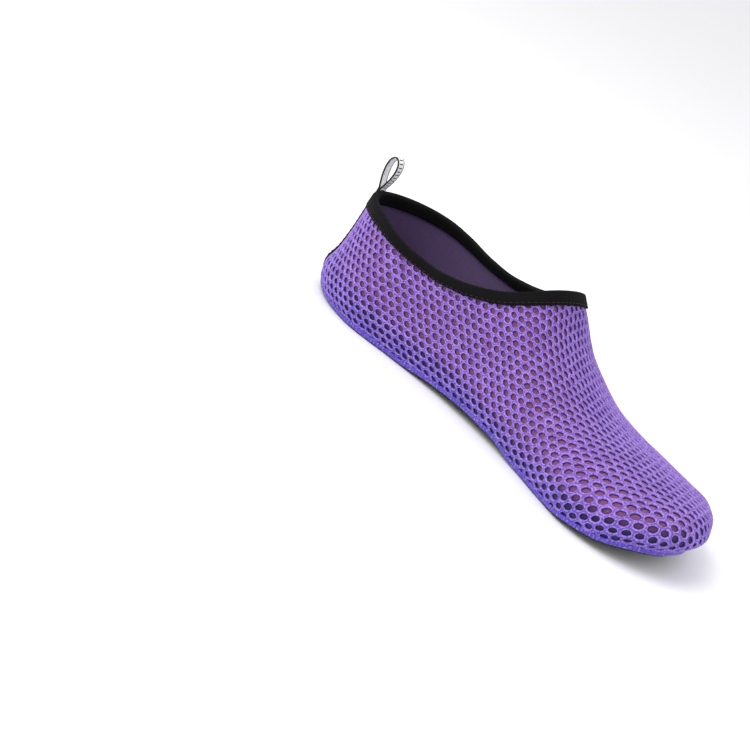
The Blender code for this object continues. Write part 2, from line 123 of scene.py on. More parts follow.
# Underside of the sole: shares of ARCH_LIFT and TOE_SPRING at a share of LENGTH
GROUND_COLUMNS = ("along", "arch", "spring")
GROUND = (
    (0.000, 0.00, 0.23),
    (0.045, 0.00, 0.055),
    (0.100, 0.00, 0.00),
    (0.290, 0.00, 0.00),
    (0.390, 0.63, 0.00),
    (0.480, 1.00, 0.00),
    (0.570, 0.91, 0.00),
    (0.660, 0.00, 0.00),
    (0.740, 0.00, 0.00),
    (0.820, 0.00, 0.14),
    (0.890, 0.00, 0.36),
    (0.950, 0.00, 0.70),
    (1.000, 0.00, 1.00),
)

# Curve of the heel's back: how far forward it lies at a height, both as shares of HEEL_HEIGHT
BACK_COLUMNS = ("height", "inset")
BACK = (
    (0.000, 0.085),
    (0.088, -0.045),
    (0.210, -0.060),
    (0.386, 0.008),
    (0.600, 0.058),
    (0.842, 0.094),
    (1.088, 0.132),
    (1.400, 0.185),
)

# Shares of LENGTH over which the heel's curve and the toe's tuck fade out
BACK_REACH = 0.38
TUCK_REACH = 0.22

# Collar line seen from the side: height as a share of HEEL_HEIGHT at a share of LENGTH
COLLAR_COLUMNS = ("along", "height")
COLLAR = (
    (0.000, 0.968),
    (0.080, 0.970),
    (0.121, 0.964),
    (0.177, 0.932),
    (0.240, 0.890),
    (0.290, 0.880),
    (0.345, 0.912),
    (0.394, 0.970),
    (0.440, 1.047),
    (0.490, 1.180),
    (0.585, 1.600),
)

# Fineness: the coarse grid carries the fabric's flat layout, and each of its steps is split in
# FINER for the surface that the pieces are drawn on. LEAST_WEIGHT holds up the layout's thinnest
# triangles.
COARSE_ROWS = 17
COARSE_AROUND = 96
FINER = 5
CAST_ROWS = 60
BISECTIONS = 34
LINE_STATIONS = 300
LAYOUT_STEPS = 120
LEAST_WEIGHT = 0.05

# Turn of the mesh's rows against the flat layout, in degrees, at a share of the way round from
# the heel along the outer side, the toe and the inner side
GRAIN_COLUMNS = ("around", "turn")
GRAIN = (
    (0.00, 38.0),
    (0.35, 42.0),
    (0.50, 46.0),
    (0.54, 45.0),
    (0.58, 33.0),
    (0.63, 25.0),
    (0.69, 21.0),
    (0.75, 15.0),
    (0.81, 9.0),
    (0.88, 12.0),
    (1.00, 18.0),
)

# Ray sources inside the last, as shares of LENGTH, BALL_WIDTH and INSTEP_HEIGHT
SPINE_FIRST = 0.14
SPINE_LAST = 0.86
SPINE_TOE_SHIFT = -0.053
SPINE_TOE_FROM = 0.76
SPINE_TOE_REACH = 0.12
SPINE_LOW = 0.23
SPINE_HIGH = 0.43
SPINE_HIGH_SHARE = 0.75
SPINE_HIGH_SHIFT = 0.08
SPINE_THROAT = 0.9
RAY_LENGTH = 1.1

# Finding places on the flat layout: fineness of the table, its margin in steps, and Newton steps
# with the most rows or columns that one may go
LOOKUP_STEP = 1.0 * MM
LOOKUP_MARGIN = 14
NEWTON_STEPS = 8
NEWTON_REACH = 4

# Cross section of a strand of the mesh: place from the hole's rim (0) to the middle of the strand
# (1), and depth below the surface as a share of the mesh's thickness. The last row is the hole's
# wall.
STRAND_COLUMNS = ("place", "depth")
STRAND = (
    (1.00, 0.10),
    (0.70, 0.03),
    (0.42, 0.00),
    (0.18, 0.12),
    (0.00, 0.46),
    (-0.05, 1.06),
)
CELL_POINTS = 24

# Cross section of the pressed hem along the sole, in mm: growth of the outline and height over
# the foot line
HEM = (
    (-0.10, 0.90),
    (0.12, 0.55),
    (0.20, 0.00),
    (0.16, -0.60),
    (0.02, -1.15),
    (-0.25, -1.50),
    (-0.60, -1.55),
    (-0.88, -1.30),
    (-0.88, -0.60),
    (-0.60, 0.10),
    (-0.25, 0.70),
)
HEM_STATIONS = 240

# Marks of the hem for the fabric's finish: radians a mm along it, place across a strand, chance
HEM_TURNS = 0.12
HEM_PLACE = 0.85
HEM_CHANCE = 0.5

# A cell is drawn if its middle lies this near the fabric; holes are pressed flat this near the
# sole (mm), and are drawn long from this far below the collar (mm) at the heel. Corners of cells
# this near each other are one, and faces smaller than this (m2) are left out.
CELL_REACH = 2.6 * MM
SEAM_REACH = 1.3
COLLAR_HOLE_FROM = 18.0
SAME_PLACE = 0.01 * MM
SLIVER_AREA = 1e-10

# Long holes at the heel: how far round from the seam they are fully drawn and over how much more
# they fade, and how much shorter along their row and wider across it they are, all as shares
HEEL_SEAM_SHARE = 0.02
HEEL_HOLE_SHARE = 0.17
HEEL_HOLE_SHORTER = 0.46
HEEL_HOLE_WIDER = 0.38

# Unevenness of the knit from cell to cell: size, tilt in radians, shift in mm and depth, how far
# a rim leans to six corners, and the depth of fabric that is pressed flat, as shares
FABRIC_SEED = 7
SIZE_SPREAD = 0.05
TILT_SPREAD = 0.06
SHIFT_SPREAD = 0.07
DEPTH_SPREAD = 0.02
RIM_CORNERS = 0.035
PRESSED_DEPTH = 0.3

# Panels of the fabric: the toe panel lies between these shares of the way round
TOE_PANEL = (0.36, 0.64)

# Ribs of yarn round a hole and their lean across a strand in radians, then pattern sizes of the
# finishes in mm
YARN_RIBS = 26.0
YARN_LEAN = 5.0
LINING_COURSE = 1.7
LINING_WALE = 1.4
TAPE_RIB = 0.75
TAPE_THREAD = 0.5
SELVEDGE_FROM = 1.72
BAR_PITCH = 1.9
BAR_WIDTH = 0.6
BAR_REACH = 1.2
RIBBON_BLUR = 0.1
RIBBON_WEFT = 0.35
RUBBER_GRAIN = 0.9
FOOTBED_CELL = 1.6

# Zones of the finishes: heights above the sole in mm at which the fabric turns from its low to its
# high colour, and the lining leaves its band for its painted shadow and reaches its upper colour,
# and how far a slow unevenness moves them
FABRIC_ZONE = (8.0, 34.0)
FABRIC_WANDER = 14.0
BAND_ZONE = (5.0, 9.0)
UPPER_ZONE = (14.0, 29.0)
LINING_WANDER = 8.0

# Tones of the mesh: places across a strand from its bare middle to full filaments by the hole,
# tones from painted shade to body with the least share of body, tones from body to painted
# highlight, and depths in mm from a strand to the hole's wall, over which painted shade deepens
FILAMENT_FROM = (0.85, 0.35)
SHADE_TONES = (0.65, 1.15)
LEAST_BODY = 0.45
LIGHT_TONES = (1.1, 1.65)
HOLE_DEPTHS = (0.4, 0.95)

# Fineness of the uneven patterns, in repeats a metre, and depths of their relief
FABRIC_CLOUDS = 45.0
FABRIC_GRAINS = 1150.0
FABRIC_FUZZ = 2400.0
LINING_CLOUDS = 70.0
LINING_FUZZ = 2200.0
TAPE_FUZZ = 1100.0
THREAD_TWIST = 900.0
RIBBON_SPECKS = 1500.0
RUBBER_DUST = 120.0
FOOTBED_FUZZ = 1500.0
PAPER_GRAIN = 900.0
FABRIC_RELIEF = 0.22 * MM
LINING_RELIEF = 0.10 * MM
TAPE_RELIEF = 0.14 * MM
THREAD_RELIEF = 0.06 * MM
RIBBON_RELIEF = 0.04 * MM
RUBBER_RELIEF = 0.08 * MM
FOOTBED_RELIEF = 0.25 * MM
PAPER_RELIEF = 0.01 * MM

# The lining lies behind the mesh at this share of the mesh's thickness; way round the foot in mm
LINING_DEPTH = 1.04
GIRTH = 550.0

# Fineness of the trims
BINDING_STEPS = 480
TAPE_STEPS = (90, 41)
LOOP_STEPS = 140
LOOP_TAIL_STEPS = 16
RIBBON_COLUMNS = 9
FOLD_STEPS = 9
LINING_STEPS = (61, 320)
PLATE_COLUMNS = 12
EDGE_STEPS = 5
STITCH_RINGS = 7
STITCH_SIDES = 6

# A stitch's tube ends at this share of its half length, and stitches lie this far from an edge
STITCH_ENDS = 0.97
BINDING_STITCH_RISE = 0.0012
TAPE_STITCH_INSET = 0.0014

# Shares of a tape's thickness: soft edge and seam dip of the binding, height of its stitches and
# thinning of the heel tape's edge. The last is the sole's upper rounding as a share of its lower.
BINDING_SOFT = 0.35
BINDING_DIP = 0.3
BINDING_STITCH_SEAT = 0.8
TAPE_EDGE_THINNING = 0.4
SOLE_UPPER_ROUND = 0.3

# Kinds of node, and settings that many nodes share
MATH = "ShaderNodeMath"
MIX = "ShaderNodeMix"
RANGE = "ShaderNodeMapRange"
NOISE = "ShaderNodeTexNoise"
ATTRIBUTE = "ShaderNodeAttribute"
SPLIT = "ShaderNodeSeparateXYZ"
PLACE = "ShaderNodeTexCoord"
TIMES = {"operation": "MULTIPLY"}
TIMES_PLUS = {"operation": "MULTIPLY_ADD"}
SINE = {"operation": "SINE"}
COLOURS = {"data_type": "RGBA"}
COLOURS_TIMES = {"data_type": "RGBA", "blend_type": "MULTIPLY"}
EASED = {"interpolation_type": "SMOOTHSTEP"}

# The photograph's camera, found from the shoe's outline: angles round the shoe, roll, shift of
# the target across the picture, distance and focal length in pixels of a 750 pixel frame
CAMERA_TARGET = (0.124, 0.0, 0.030)
CAMERA_AZIMUTH = 35.11
CAMERA_ELEVATION = 20.01
CAMERA_ROLL = 26.79
CAMERA_ACROSS = 0.06915
CAMERA_UP = 0.00383
CAMERA_DISTANCE = 0.93268
CAMERA_FOCAL_PIXELS = 2020
PICTURE_PIXELS = 750
SENSOR = 36.0

# Stage: the floor's half width and points a side, and for each light its place from the shoe along
# the picture's up, toward the camera and right, its size and its colour
FLOOR_REACH = 6.0
FLOOR_POINTS = 13
KEY_PLACE = (0.9, 0.55, -0.25)
KEY_SIZE = 0.9
KEY_COLOUR = (1.0, 0.99, 0.97)
FILL_PLACE = (0.35, 0.7, 0.9)
FILL_SIZE = 1.2
FILL_COLOUR = (0.96, 0.97, 1.0)


def linear(code):
    """Turn an sRGB hex colour to linear red, green and blue."""
    srgb = np.array([int(code[i:i + 2], 16) for i in (1, 3, 5)]) / 255
    return tuple(np.where(srgb <= 0.04045, srgb / 12.92, ((srgb + 0.055) / 1.055) ** 2.4).tolist())


# The last

def table(rows, columns):
    """Give a table's columns as arrays by name."""
    values = np.array(rows, float)
    return {name: values[:, k] for k, name in enumerate(columns)}


def smooth(x, y, at):
    """Cubic curve through (x, y) that never overshoots: the slope at an inner point is the
    weighted harmonic mean of the slopes beside it, or zero at a high or low point."""
    step = np.diff(x)
    slope = np.diff(y) / step
    before, after = slope[:-1], slope[1:]
    same = before * after > 0
    weight_a = 2 * step[1:] + step[:-1]
    weight_b = step[1:] + 2 * step[:-1]
    mean = (weight_a + weight_b) / (weight_a / np.where(same, before, 1.0)
                                    + weight_b / np.where(same, after, 1.0))
    tangent = np.concatenate([slope[:1], np.where(same, mean, 0.0), slope[-1:]])
    at = np.clip(at, x[0], x[-1])
    i = np.clip(np.searchsorted(x, at, side="right") - 1, 0, len(x) - 2)
    h = step[i]
    t = (at - x[i]) / h
    from_left = y[i] * (1 + 2 * t) * (1 - t) ** 2 + tangent[i] * h * t * (1 - t) ** 2
    from_right = y[i + 1] * t * t * (3 - 2 * t) + tangent[i + 1] * h * t * t * (t - 1)
    return from_left + from_right


def turn(share):
    """Angle that runs evenly round a half circle as the share runs from 0 to 1."""
    return np.arccos(np.clip(1 - 2 * np.asarray(share, float), -1, 1))


SECTION = table(SECTIONS, SECTION_COLUMNS)
UNDER = table(GROUND, GROUND_COLUMNS)
HEEL_BACK = table(BACK, BACK_COLUMNS)
COLLAR_LINE = table(COLLAR, COLLAR_COLUMNS)
GRAIN_TURN = table(GRAIN, GRAIN_COLUMNS)
STRAND_SHAPE = table(STRAND, STRAND_COLUMNS)


def section(along, column):
    """One column of the section table, read on the half circle so that both ends are round."""
    return smooth(turn(SECTION["along"]), SECTION[column], turn(along))


def underside(along):
    """Height of the sole's underside."""
    angle, places = turn(along), turn(UNDER["along"])
    arch = smooth(places, UNDER["arch"], angle) * ARCH_LIFT
    return arch + smooth(places, UNDER["spring"], angle) * TOE_SPRING


def sole_top(x):
    """Height of the sole's upper face: its underside and its thickness."""
    return underside(np.clip(x / LENGTH, 0, 1)) + SOLE_THICKNESS


def foot_height(x):
    """Height of the upper's lower edge, a clearance over the sole."""
    return sole_top(x) + CLEARANCE


def collar_height(x):
    """Height of the collar line."""
    return smooth(COLLAR_LINE["along"], COLLAR_LINE["height"], x / LENGTH) * HEEL_HEIGHT


def fade(distance, reach):
    """Falls smoothly from 1 at no distance to 0 at the reach."""
    t = np.clip(distance / reach, 0, 1)
    return (1 - t) ** 2 * (1 + 2 * t)


def station(x, z):
    """Share of the length that a point belongs to, bent by the heel's back and the toe's tuck."""
    inset = smooth(HEEL_BACK["height"], HEEL_BACK["inset"], z / HEEL_HEIGHT) * HEEL_HEIGHT
    toe_widest = SECTION["widest"][-1] * INSTEP_HEIGHT
    toe_floor = TOE_SPRING + SOLE_THICKNESS
    under = np.clip((toe_widest - z) / max(toe_widest - toe_floor, CLEARANCE), 0, 1.5)
    back = inset * fade(x, BACK_REACH * LENGTH)
    front = TOE_TUCK * under ** 2 * fade(LENGTH - x, TUCK_REACH * LENGTH)
    return (x - back + front) / LENGTH


def halves(along, z):
    """Centre, half width, half height and exponent of the half section that holds height z."""
    outer = section(along, "outer") * BALL_WIDTH
    inner = section(along, "inner") * BALL_WIDTH
    widest = section(along, "widest") * INSTEP_HEIGHT
    top = section(along, "top") * INSTEP_HEIGHT
    bottom = underside(along) + SOLE_THICKNESS - LOWER_DEPTH
    above = z >= widest
    rise = (z - widest) / np.maximum(np.where(above, top - widest, widest - bottom), 1e-6)
    lean = section(along, "lean") * BALL_WIDTH * np.where(above, np.clip(rise, 0, 1.5) ** 2, 0)
    exponent = np.where(above, section(along, "fullness"), LOWER_FULLNESS)
    return (outer - inner) / 2 - lean, np.maximum((outer + inner) / 2, 1e-6), rise, exponent


def level(points):
    """Below zero inside the last and above zero outside."""
    x, y, z = points[..., 0], points[..., 1], points[..., 2]
    along = station(x, z)
    beyond = np.maximum(along - 1, 0) + np.maximum(-along, 0)
    centre, half, rise, exponent = halves(np.clip(along, 1e-6, 1 - 1e-6), z)
    return (np.abs(y - centre) / half) ** exponent + np.abs(rise) ** exponent - 1 + beyond * 1e5


def cast(origins, directions):
    """Where rays from inside leave the last, found by halving."""
    near = np.zeros(len(origins))
    far = np.full(len(origins), RAY_LENGTH * LENGTH)
    for _ in range(BISECTIONS):
        middle = (near + far) / 2
        inside = level(origins + directions * middle[:, None]) < 0
        near, far = np.where(inside, middle, near), np.where(inside, far, middle)
    return origins + directions * ((near + far) / 2)[:, None]


def edge(x, z, side):
    """Y of the last's surface at x and z, on the outer side (+1) or the inner side (-1)."""
    centre, half, rise, exponent = halves(np.clip(station(x, z), 1e-6, 1 - 1e-6), z)
    return centre + side * half * (1 - np.clip(np.abs(rise), 0, 1) ** exponent) ** (1 / exponent)


def halve(low, high, is_low):
    """Root of a test that is true below it."""
    for _ in range(BISECTIONS):
        middle = (low + high) / 2
        low, high = (middle, high) if is_low(middle) else (low, middle)
    return (low + high) / 2


def half_circle(steps):
    """Shares from 0 to 1 that crowd at both ends, as points on a half circle do."""
    return (1 - np.cos(np.linspace(0, np.pi, steps))) / 2


def loop_line(first, last, height, stations, grow=0.0):
    """Outer and inner sides of the line where the last meets a height that depends on x."""
    angle = turn(stations)
    x = first + (last - first) * stations
    z = height(x)
    sides = [np.stack([x - grow * np.cos(angle), edge(x, z, side) + side * grow * np.sin(angle), z],
                      axis=1) for side in (1, -1)]
    return sides


def closed_loop(sides):
    """Join the outer and inner sides into one loop that starts at the heel."""
    outer, inner = sides
    heel = (outer[:1] + inner[:1]) / 2
    toe = (outer[-1:] + inner[-1:]) / 2
    return np.vstack([heel, outer[1:-1], toe, inner[-2:0:-1]])


def resample(loop, count):
    """Space points evenly along a closed loop."""
    ring = np.vstack([loop, loop[:1]])
    gone = np.concatenate([[0], np.cumsum(np.linalg.norm(np.diff(ring, axis=0), axis=1))])
    want = np.linspace(0, gone[-1], count + 1)[:-1]
    return np.stack([np.interp(want, gone, ring[:, k]) for k in range(3)], axis=1)


def foot_ends():
    """X of the last's back and tip where it meets the sole."""
    back = halve(-0.1 * LENGTH, 0.2 * LENGTH, lambda x: station(x, sole_top(x)) < 0)
    tip = halve(0.8 * LENGTH, 1.1 * LENGTH, lambda x: station(x, sole_top(x)) < 1)
    return back, tip


def collar_ends():
    """X of the collar's back and of the throat, where it passes the top of the instep."""
    heel = halve(0.0, 0.2 * LENGTH, lambda x: station(x, collar_height(x)) < 0)

    def under_top(x):
        return section(station(x, collar_height(x)), "top") * INSTEP_HEIGHT > collar_height(x)

    return heel, halve(0.3 * LENGTH, 0.8 * LENGTH, under_top)


def unit(vectors):
    """Vectors divided by their lengths."""
    return vectors / np.maximum(np.linalg.norm(vectors, axis=-1, keepdims=True), 1e-12)


def spine(loop, height):
    """Ray sources for a loop, on a bent line inside the last."""
    x = np.clip(loop[:, 0], SPINE_FIRST * LENGTH, SPINE_LAST * LENGTH)
    bend = np.clip((loop[:, 0] / LENGTH - SPINE_TOE_FROM) / SPINE_TOE_REACH, 0, 1)
    return np.stack([x, SPINE_TOE_SHIFT * BALL_WIDTH * bend, np.full(len(x), height)], axis=1)


def skin_rows(rows, around):
    """Grid of the last's surface from the foot line (row 0) to the collar line (last row).

    Each row's rays start and point between those of the two lines, turned evenly from one to
    the other, and the rows are then spaced evenly up each column.
    """
    stations = half_circle(LINE_STATIONS)
    foot = resample(closed_loop(loop_line(*foot_ends(), foot_height, stations)), around)
    collar = resample(closed_loop(loop_line(*collar_ends(), collar_height, stations)), around)
    low = spine(foot, SPINE_LOW * INSTEP_HEIGHT)
    high = spine(collar, SPINE_HIGH * INSTEP_HEIGHT)
    high[:, 0] = np.clip(collar[:, 0] * SPINE_HIGH_SHARE + SPINE_HIGH_SHIFT * LENGTH,
                         SPINE_FIRST * LENGTH, collar[:, 0].max() * SPINE_THROAT)
    down, up = unit(foot - low), unit(collar - high)
    angle = np.arccos(np.clip((down * up).sum(axis=1), -1, 1))[:, None]
    swing = np.maximum(np.sin(angle), 1e-6)
    fine = [foot]
    for share in np.linspace(0, 1, CAST_ROWS + 1)[1:-1]:
        aim = (np.sin((1 - share) * angle) * down + np.sin(share * angle) * up) / swing
        fine.append(cast(low * (1 - share) + high * share, unit(aim)))
    fine = np.array(fine + [collar])
    gone = np.concatenate([np.zeros((1, around)),
                           np.cumsum(np.linalg.norm(np.diff(fine, axis=0), axis=2), axis=0)])
    shares = np.linspace(0, 1, rows)
    grid = np.empty((rows, around, 3))
    for j in range(around):
        for k in range(3):
            grid[:, j, k] = np.interp(shares * gone[-1, j], gone[:, j], fine[:, j, k])
    return grid


def grid_normals(grid):
    """Outward normals of a grid whose rows run all the way round, its last column being its first."""
    around = np.gradient(np.concatenate([grid[:, -2:-1], grid, grid[:, 1:2]], axis=1), axis=1)[:, 1:-1]
    return unit(np.cross(np.gradient(grid, axis=0), around))


def refine(values, factor):
    """Put factor - 1 new rows between each two, on Catmull-Rom curves through the old ones."""
    at = np.linspace(0, len(values) - 1, (len(values) - 1) * factor + 1)
    i = np.minimum(at.astype(int), len(values) - 2)
    t = (at - i).reshape(-1, *[1] * (values.ndim - 1))
    long = np.concatenate([2 * values[:1] - values[1:2], values, 2 * values[-1:] - values[-2:-1]])
    a, b, c, d = (long[i + k] for k in range(4))
    return b + t * ((c - a) / 2 + t * (a - 2.5 * b + 2 * c - d / 2 + t * (1.5 * (b - c) + (d - a) / 2)))


def refine_grid(grid, factor):
    """Refine a grid along its rows and its columns."""
    return np.swapaxes(refine(np.swapaxes(refine(grid, factor), 0, 1), factor), 0, 1)


def flat_layout(grid, normals):
    """Lay the upper flat, cut open at the heel, with each small triangle kept as rigid as it can be.

    The start is a skirt: every point is pushed out along its normal by its depth below the
    collar. Then each step turns every triangle to fit where it lies, and solves for the points
    that agree best with all the turned triangles. The last step turns them on by the grain, so
    that the mesh's rows lie along the layout's first axis.
    """
    rows, columns = grid.shape[:2]
    index = np.arange(rows * columns).reshape(rows, columns)
    a, b = index[:-1, :-1].ravel(), index[:-1, 1:].ravel()
    c, d = index[1:, 1:].ravel(), index[1:, :-1].ravel()
    triangles = np.concatenate([np.stack([a, d, c], 1), np.stack([a, c, b], 1)])
    corner = grid.reshape(-1, 3)[triangles]
    first, second = corner[:, 1] - corner[:, 0], corner[:, 2] - corner[:, 0]
    ahead = unit(first)
    aside = unit(np.cross(np.cross(first, second), ahead))
    flat = np.stack([np.einsum("tkc,tc->tk", corner - corner[:, :1], axis) for axis in (ahead, aside)], 2)
    size = len(index.ravel())
    stiffness = np.zeros((size, size))
    pulls = []
    for k in range(3):
        i, j = (k + 1) % 3, (k + 2) % 3
        one, two = flat[:, i] - flat[:, k], flat[:, j] - flat[:, k]
        area = np.abs(one[:, 0] * two[:, 1] - one[:, 1] * two[:, 0])
        weight = np.maximum((one * two).sum(1) / np.maximum(area, 1e-12), LEAST_WEIGHT)
        p, q = triangles[:, i], triangles[:, j]
        np.add.at(stiffness, (p, p), weight)
        np.add.at(stiffness, (q, q), weight)
        np.add.at(stiffness, (p, q), -weight)
        np.add.at(stiffness, (q, p), -weight)
        pulls.append((p, q, weight, flat[:, i] - flat[:, j]))
    stiffness[0, 0] += 1
    solver = np.linalg.inv(stiffness)
    depth = grid[..., 2].max() - grid[..., 2:]
    layout = (grid[..., :2] + normals[..., :2] * depth).reshape(-1, 2)
    column = np.tile(np.tile(np.arange(columns - 1), rows - 1) + 0.5, 2) / (columns - 1)
    grain = -np.radians(np.interp(column, GRAIN_TURN["around"], GRAIN_TURN["turn"]))
    for step in range(LAYOUT_STEPS):
        lies = [layout[p] - layout[q] for p, q, _, _ in pulls]
        dot = sum(w * (l * f).sum(1) for l, (_, _, w, f) in zip(lies, pulls))
        cross = sum(w * (l[:, 1] * f[:, 0] - l[:, 0] * f[:, 1]) for l, (_, _, w, f) in zip(lies, pulls))
        length = np.maximum(np.hypot(dot, cross), 1e-15)
        cos, sin = dot / length, cross / length
        if step == LAYOUT_STEPS - 1:
            cos, sin = (cos * np.cos(grain) - sin * np.sin(grain), sin * np.cos(grain) + cos * np.sin(grain))
        wanted = np.zeros((size, 2))
        for p, q, w, f in pulls:
            turned = np.stack([cos * f[:, 0] - sin * f[:, 1], sin * f[:, 0] + cos * f[:, 1]], 1) * w[:, None]
            np.add.at(wanted, p, turned)
            np.add.at(wanted, q, -turned)
        layout = solver @ wanted
    return layout.reshape(rows, columns, 2)


COARSE = skin_rows(COARSE_ROWS, COARSE_AROUND)
COARSE = np.concatenate([COARSE, COARSE[:, :1]], axis=1)
SKIN = refine_grid(COARSE, FINER)
NORMALS = grid_normals(SKIN)
LAYOUT = refine_grid(flat_layout(COARSE, grid_normals(COARSE)), FINER)
ROWS, COLUMNS = SKIN.shape[:2]
RISE = np.concatenate([np.zeros((1, COLUMNS)),
                       np.cumsum(np.linalg.norm(np.diff(SKIN, axis=0), axis=2), axis=0)])


def read(values, row, column):
    """Read grid values at fractional rows and columns, evenly mixed from the four around."""
    i = np.clip(row.astype(int), 0, ROWS - 2)
    j = np.clip(column.astype(int), 0, COLUMNS - 2)
    u, v = row - i, column - j
    if values.ndim == 3:
        u, v = u[..., None], v[..., None]
    low = values[i, j] * (1 - v) + values[i, j + 1] * v
    return low * (1 - u) + (values[i + 1, j] * (1 - v) + values[i + 1, j + 1] * v) * u


def skin(row, column, depth):
    """Points below the last's surface by a depth, in the part's frame."""
    points = read(SKIN, row, column) - unit(read(NORMALS, row, column)) * np.asarray(depth)[..., None]
    return points - (HEEL_REST, 0, 0)


def below_collar(distance, column):
    """Fractional row that lies a distance below the collar, measured down the wall."""
    whole = RISE[-1]
    share = 1 - distance / np.interp(column, np.arange(COLUMNS), whole)
    return np.clip(share, 0, 1) * (ROWS - 1)


# Meshes

def outward(points, faces):
    """Faces of a closed piece, turned over if they enclose less than no volume."""
    volume = 0.0
    for group in faces:
        corners = points[group]
        for k in range(1, group.shape[1] - 1):
            volume += (corners[:, 0] * np.cross(corners[:, k], corners[:, k + 1])).sum()
    return faces if volume > 0 else [group[:, ::-1] for group in faces]


def add_piece(name, points, faces, finish):
    """Make a mesh object, ride it on the shoe's body and give it its material and slot."""
    mesh = bpy.data.meshes.new(name)
    mesh.vertices.add(len(points))
    mesh.vertices.foreach_set("co", np.asarray(points, np.float32).ravel())
    loops = np.concatenate([np.asarray(f, np.int32).ravel() for f in faces])
    totals = np.concatenate([np.full(len(f), np.shape(f)[1], np.int32) for f in faces])
    mesh.loops.add(len(loops))
    mesh.loops.foreach_set("vertex_index", loops)
    mesh.polygons.add(len(totals))
    mesh.polygons.foreach_set("loop_start", np.concatenate([[0], np.cumsum(totals)[:-1]]).astype(np.int32))
    mesh.polygons.foreach_set("loop_total", totals)
    mesh.update(calc_edges=True)
    if mesh.validate():
        raise RuntimeError(f"{name} has faulty faces")
    mesh.shade_smooth()
    mesh.materials.append(finish)
    piece = bpy.data.objects.new(name, mesh)
    bpy.context.scene.collection.objects.link(piece)
    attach(piece, "root")
    return piece


def set_attribute(piece, name, values, domain="POINT"):
    """Store a vector for each point or face corner."""
    made = piece.data.attributes.new(name, "FLOAT_VECTOR", domain)
    made.data.foreach_set("vector", np.asarray(values, np.float32).ravel())


def grid_faces(rows, columns, wrap_rows=False, wrap_columns=False, first=0):
    """Faces of a grid of points, whose normals are rows' direction crossed with columns'."""
    i = np.arange(rows if wrap_rows else rows - 1)
    j = np.arange(columns if wrap_columns else columns - 1)
    i, j = np.meshgrid(i, j, indexing="ij")
    k, l = (i + 1) % rows, (j + 1) % columns
    return first + np.stack([i * columns + j, k * columns + j, k * columns + l, i * columns + l],
                            axis=-1).reshape(-1, 4)


def add_trim(name, shape, finish):
    """Add a closed piece from (points, faces, spread), its faces turned outward, with the distances
    along and across it as an attribute."""
    points, faces, spread = shape
    piece = add_piece(name, points, outward(points, faces), finish)
    set_attribute(piece, "along", spread)
    return piece


def add_stitches(name, lines, settings, finish):
    """Add a row of stitches along each (path, normals) line, each row as a piece of its own."""
    for k, (path, out) in enumerate(lines):
        points, faces = run_of_stitches(path, out, settings)
        add_piece(f"{name}_{k + 1}", points, outward(points, faces), finish)


# Finding a place on the flat layout

def lookup_table():
    """Square table over the flat layout of the grid row and column that lie nearest."""
    low = LAYOUT.reshape(-1, 2).min(0) - LOOKUP_MARGIN * LOOKUP_STEP
    high = LAYOUT.reshape(-1, 2).max(0) + LOOKUP_MARGIN * LOOKUP_STEP
    shape = np.ceil((high - low) / LOOKUP_STEP).astype(int) + 1
    found = np.full((*shape, 2), -1.0)
    cell = np.round((LAYOUT - low) / LOOKUP_STEP).astype(int)
    i, j = np.meshgrid(np.arange(ROWS), np.arange(COLUMNS), indexing="ij")
    found[cell[..., 0], cell[..., 1]] = np.stack([i, j], axis=-1)
    for _ in range(LOOKUP_MARGIN):
        for axis in (0, 1):
            for way in (1, -1):
                beside = np.roll(found, way, axis=axis)
                found = np.where(found[..., :1] < 0, beside, found)
    return low, found


LOOKUP_LOW, LOOKUP = lookup_table()


def locate(spots):
    """Grid rows and columns of spots on the flat layout, and how far off they lie outside it.

    Each starts from the table's nearest entry and is moved by Newton steps, held to the grid.
    """
    cell = np.round((spots - LOOKUP_LOW) / LOOKUP_STEP).astype(int)
    inside = ((cell >= 0) & (cell < LOOKUP.shape[:2])).all(-1)
    cell = np.clip(cell, 0, np.array(LOOKUP.shape[:2]) - 1)
    at = LOOKUP[cell[..., 0], cell[..., 1]].copy()
    inside &= at[..., 0] >= 0
    at = np.maximum(at, 0)
    limit = np.array([ROWS - 1.001, COLUMNS - 1.001])
    for _ in range(NEWTON_STEPS):
        i, j = (np.minimum(at[..., k].astype(int), limit[k].astype(int)) for k in (0, 1))
        u, v = (at[..., 0] - i)[..., None], (at[..., 1] - j)[..., None]
        a, b, c, d = LAYOUT[i, j], LAYOUT[i, j + 1], LAYOUT[i + 1, j], LAYOUT[i + 1, j + 1]
        here = (a * (1 - v) + b * v) * (1 - u) + (c * (1 - v) + d * v) * u
        by_row = (c - a) * (1 - v) + (d - b) * v
        by_column = (b - a) * (1 - u) + (d - c) * u
        off = spots - here
        area = by_row[..., 0] * by_column[..., 1] - by_row[..., 1] * by_column[..., 0]
        area = np.where(np.abs(area) < 1e-14, 1e-14, area)
        step = np.stack([off[..., 0] * by_column[..., 1] - off[..., 1] * by_column[..., 0],
                         by_row[..., 0] * off[..., 1] - by_row[..., 1] * off[..., 0]], -1) / area[..., None]
        at = np.clip(at + np.clip(step, -NEWTON_REACH, NEWTON_REACH), 0, limit)
    short = np.linalg.norm(spots - np.stack([read(LAYOUT, at[..., 0], at[..., 1])[..., k] for k in (0, 1)],
                                            -1), axis=-1)
    return at[..., 0], at[..., 1], np.where(inside, short, 1.0)


# Places on the wall

def on_wall(distance, column, out):
    """Points a distance below the collar, measured down the wall, and out from it by an offset.

    A negative distance goes on past the collar in the wall's own direction.
    """
    row = below_collar(np.maximum(distance, 0), column)
    points = skin(row, column, -np.asarray(out))
    top = np.full(column.shape, ROWS - 1.0)
    ahead = unit(skin(top, column, 0 * top) - skin(top - 2, column, 0 * top))
    return points + ahead * np.maximum(-distance, 0)[..., None]


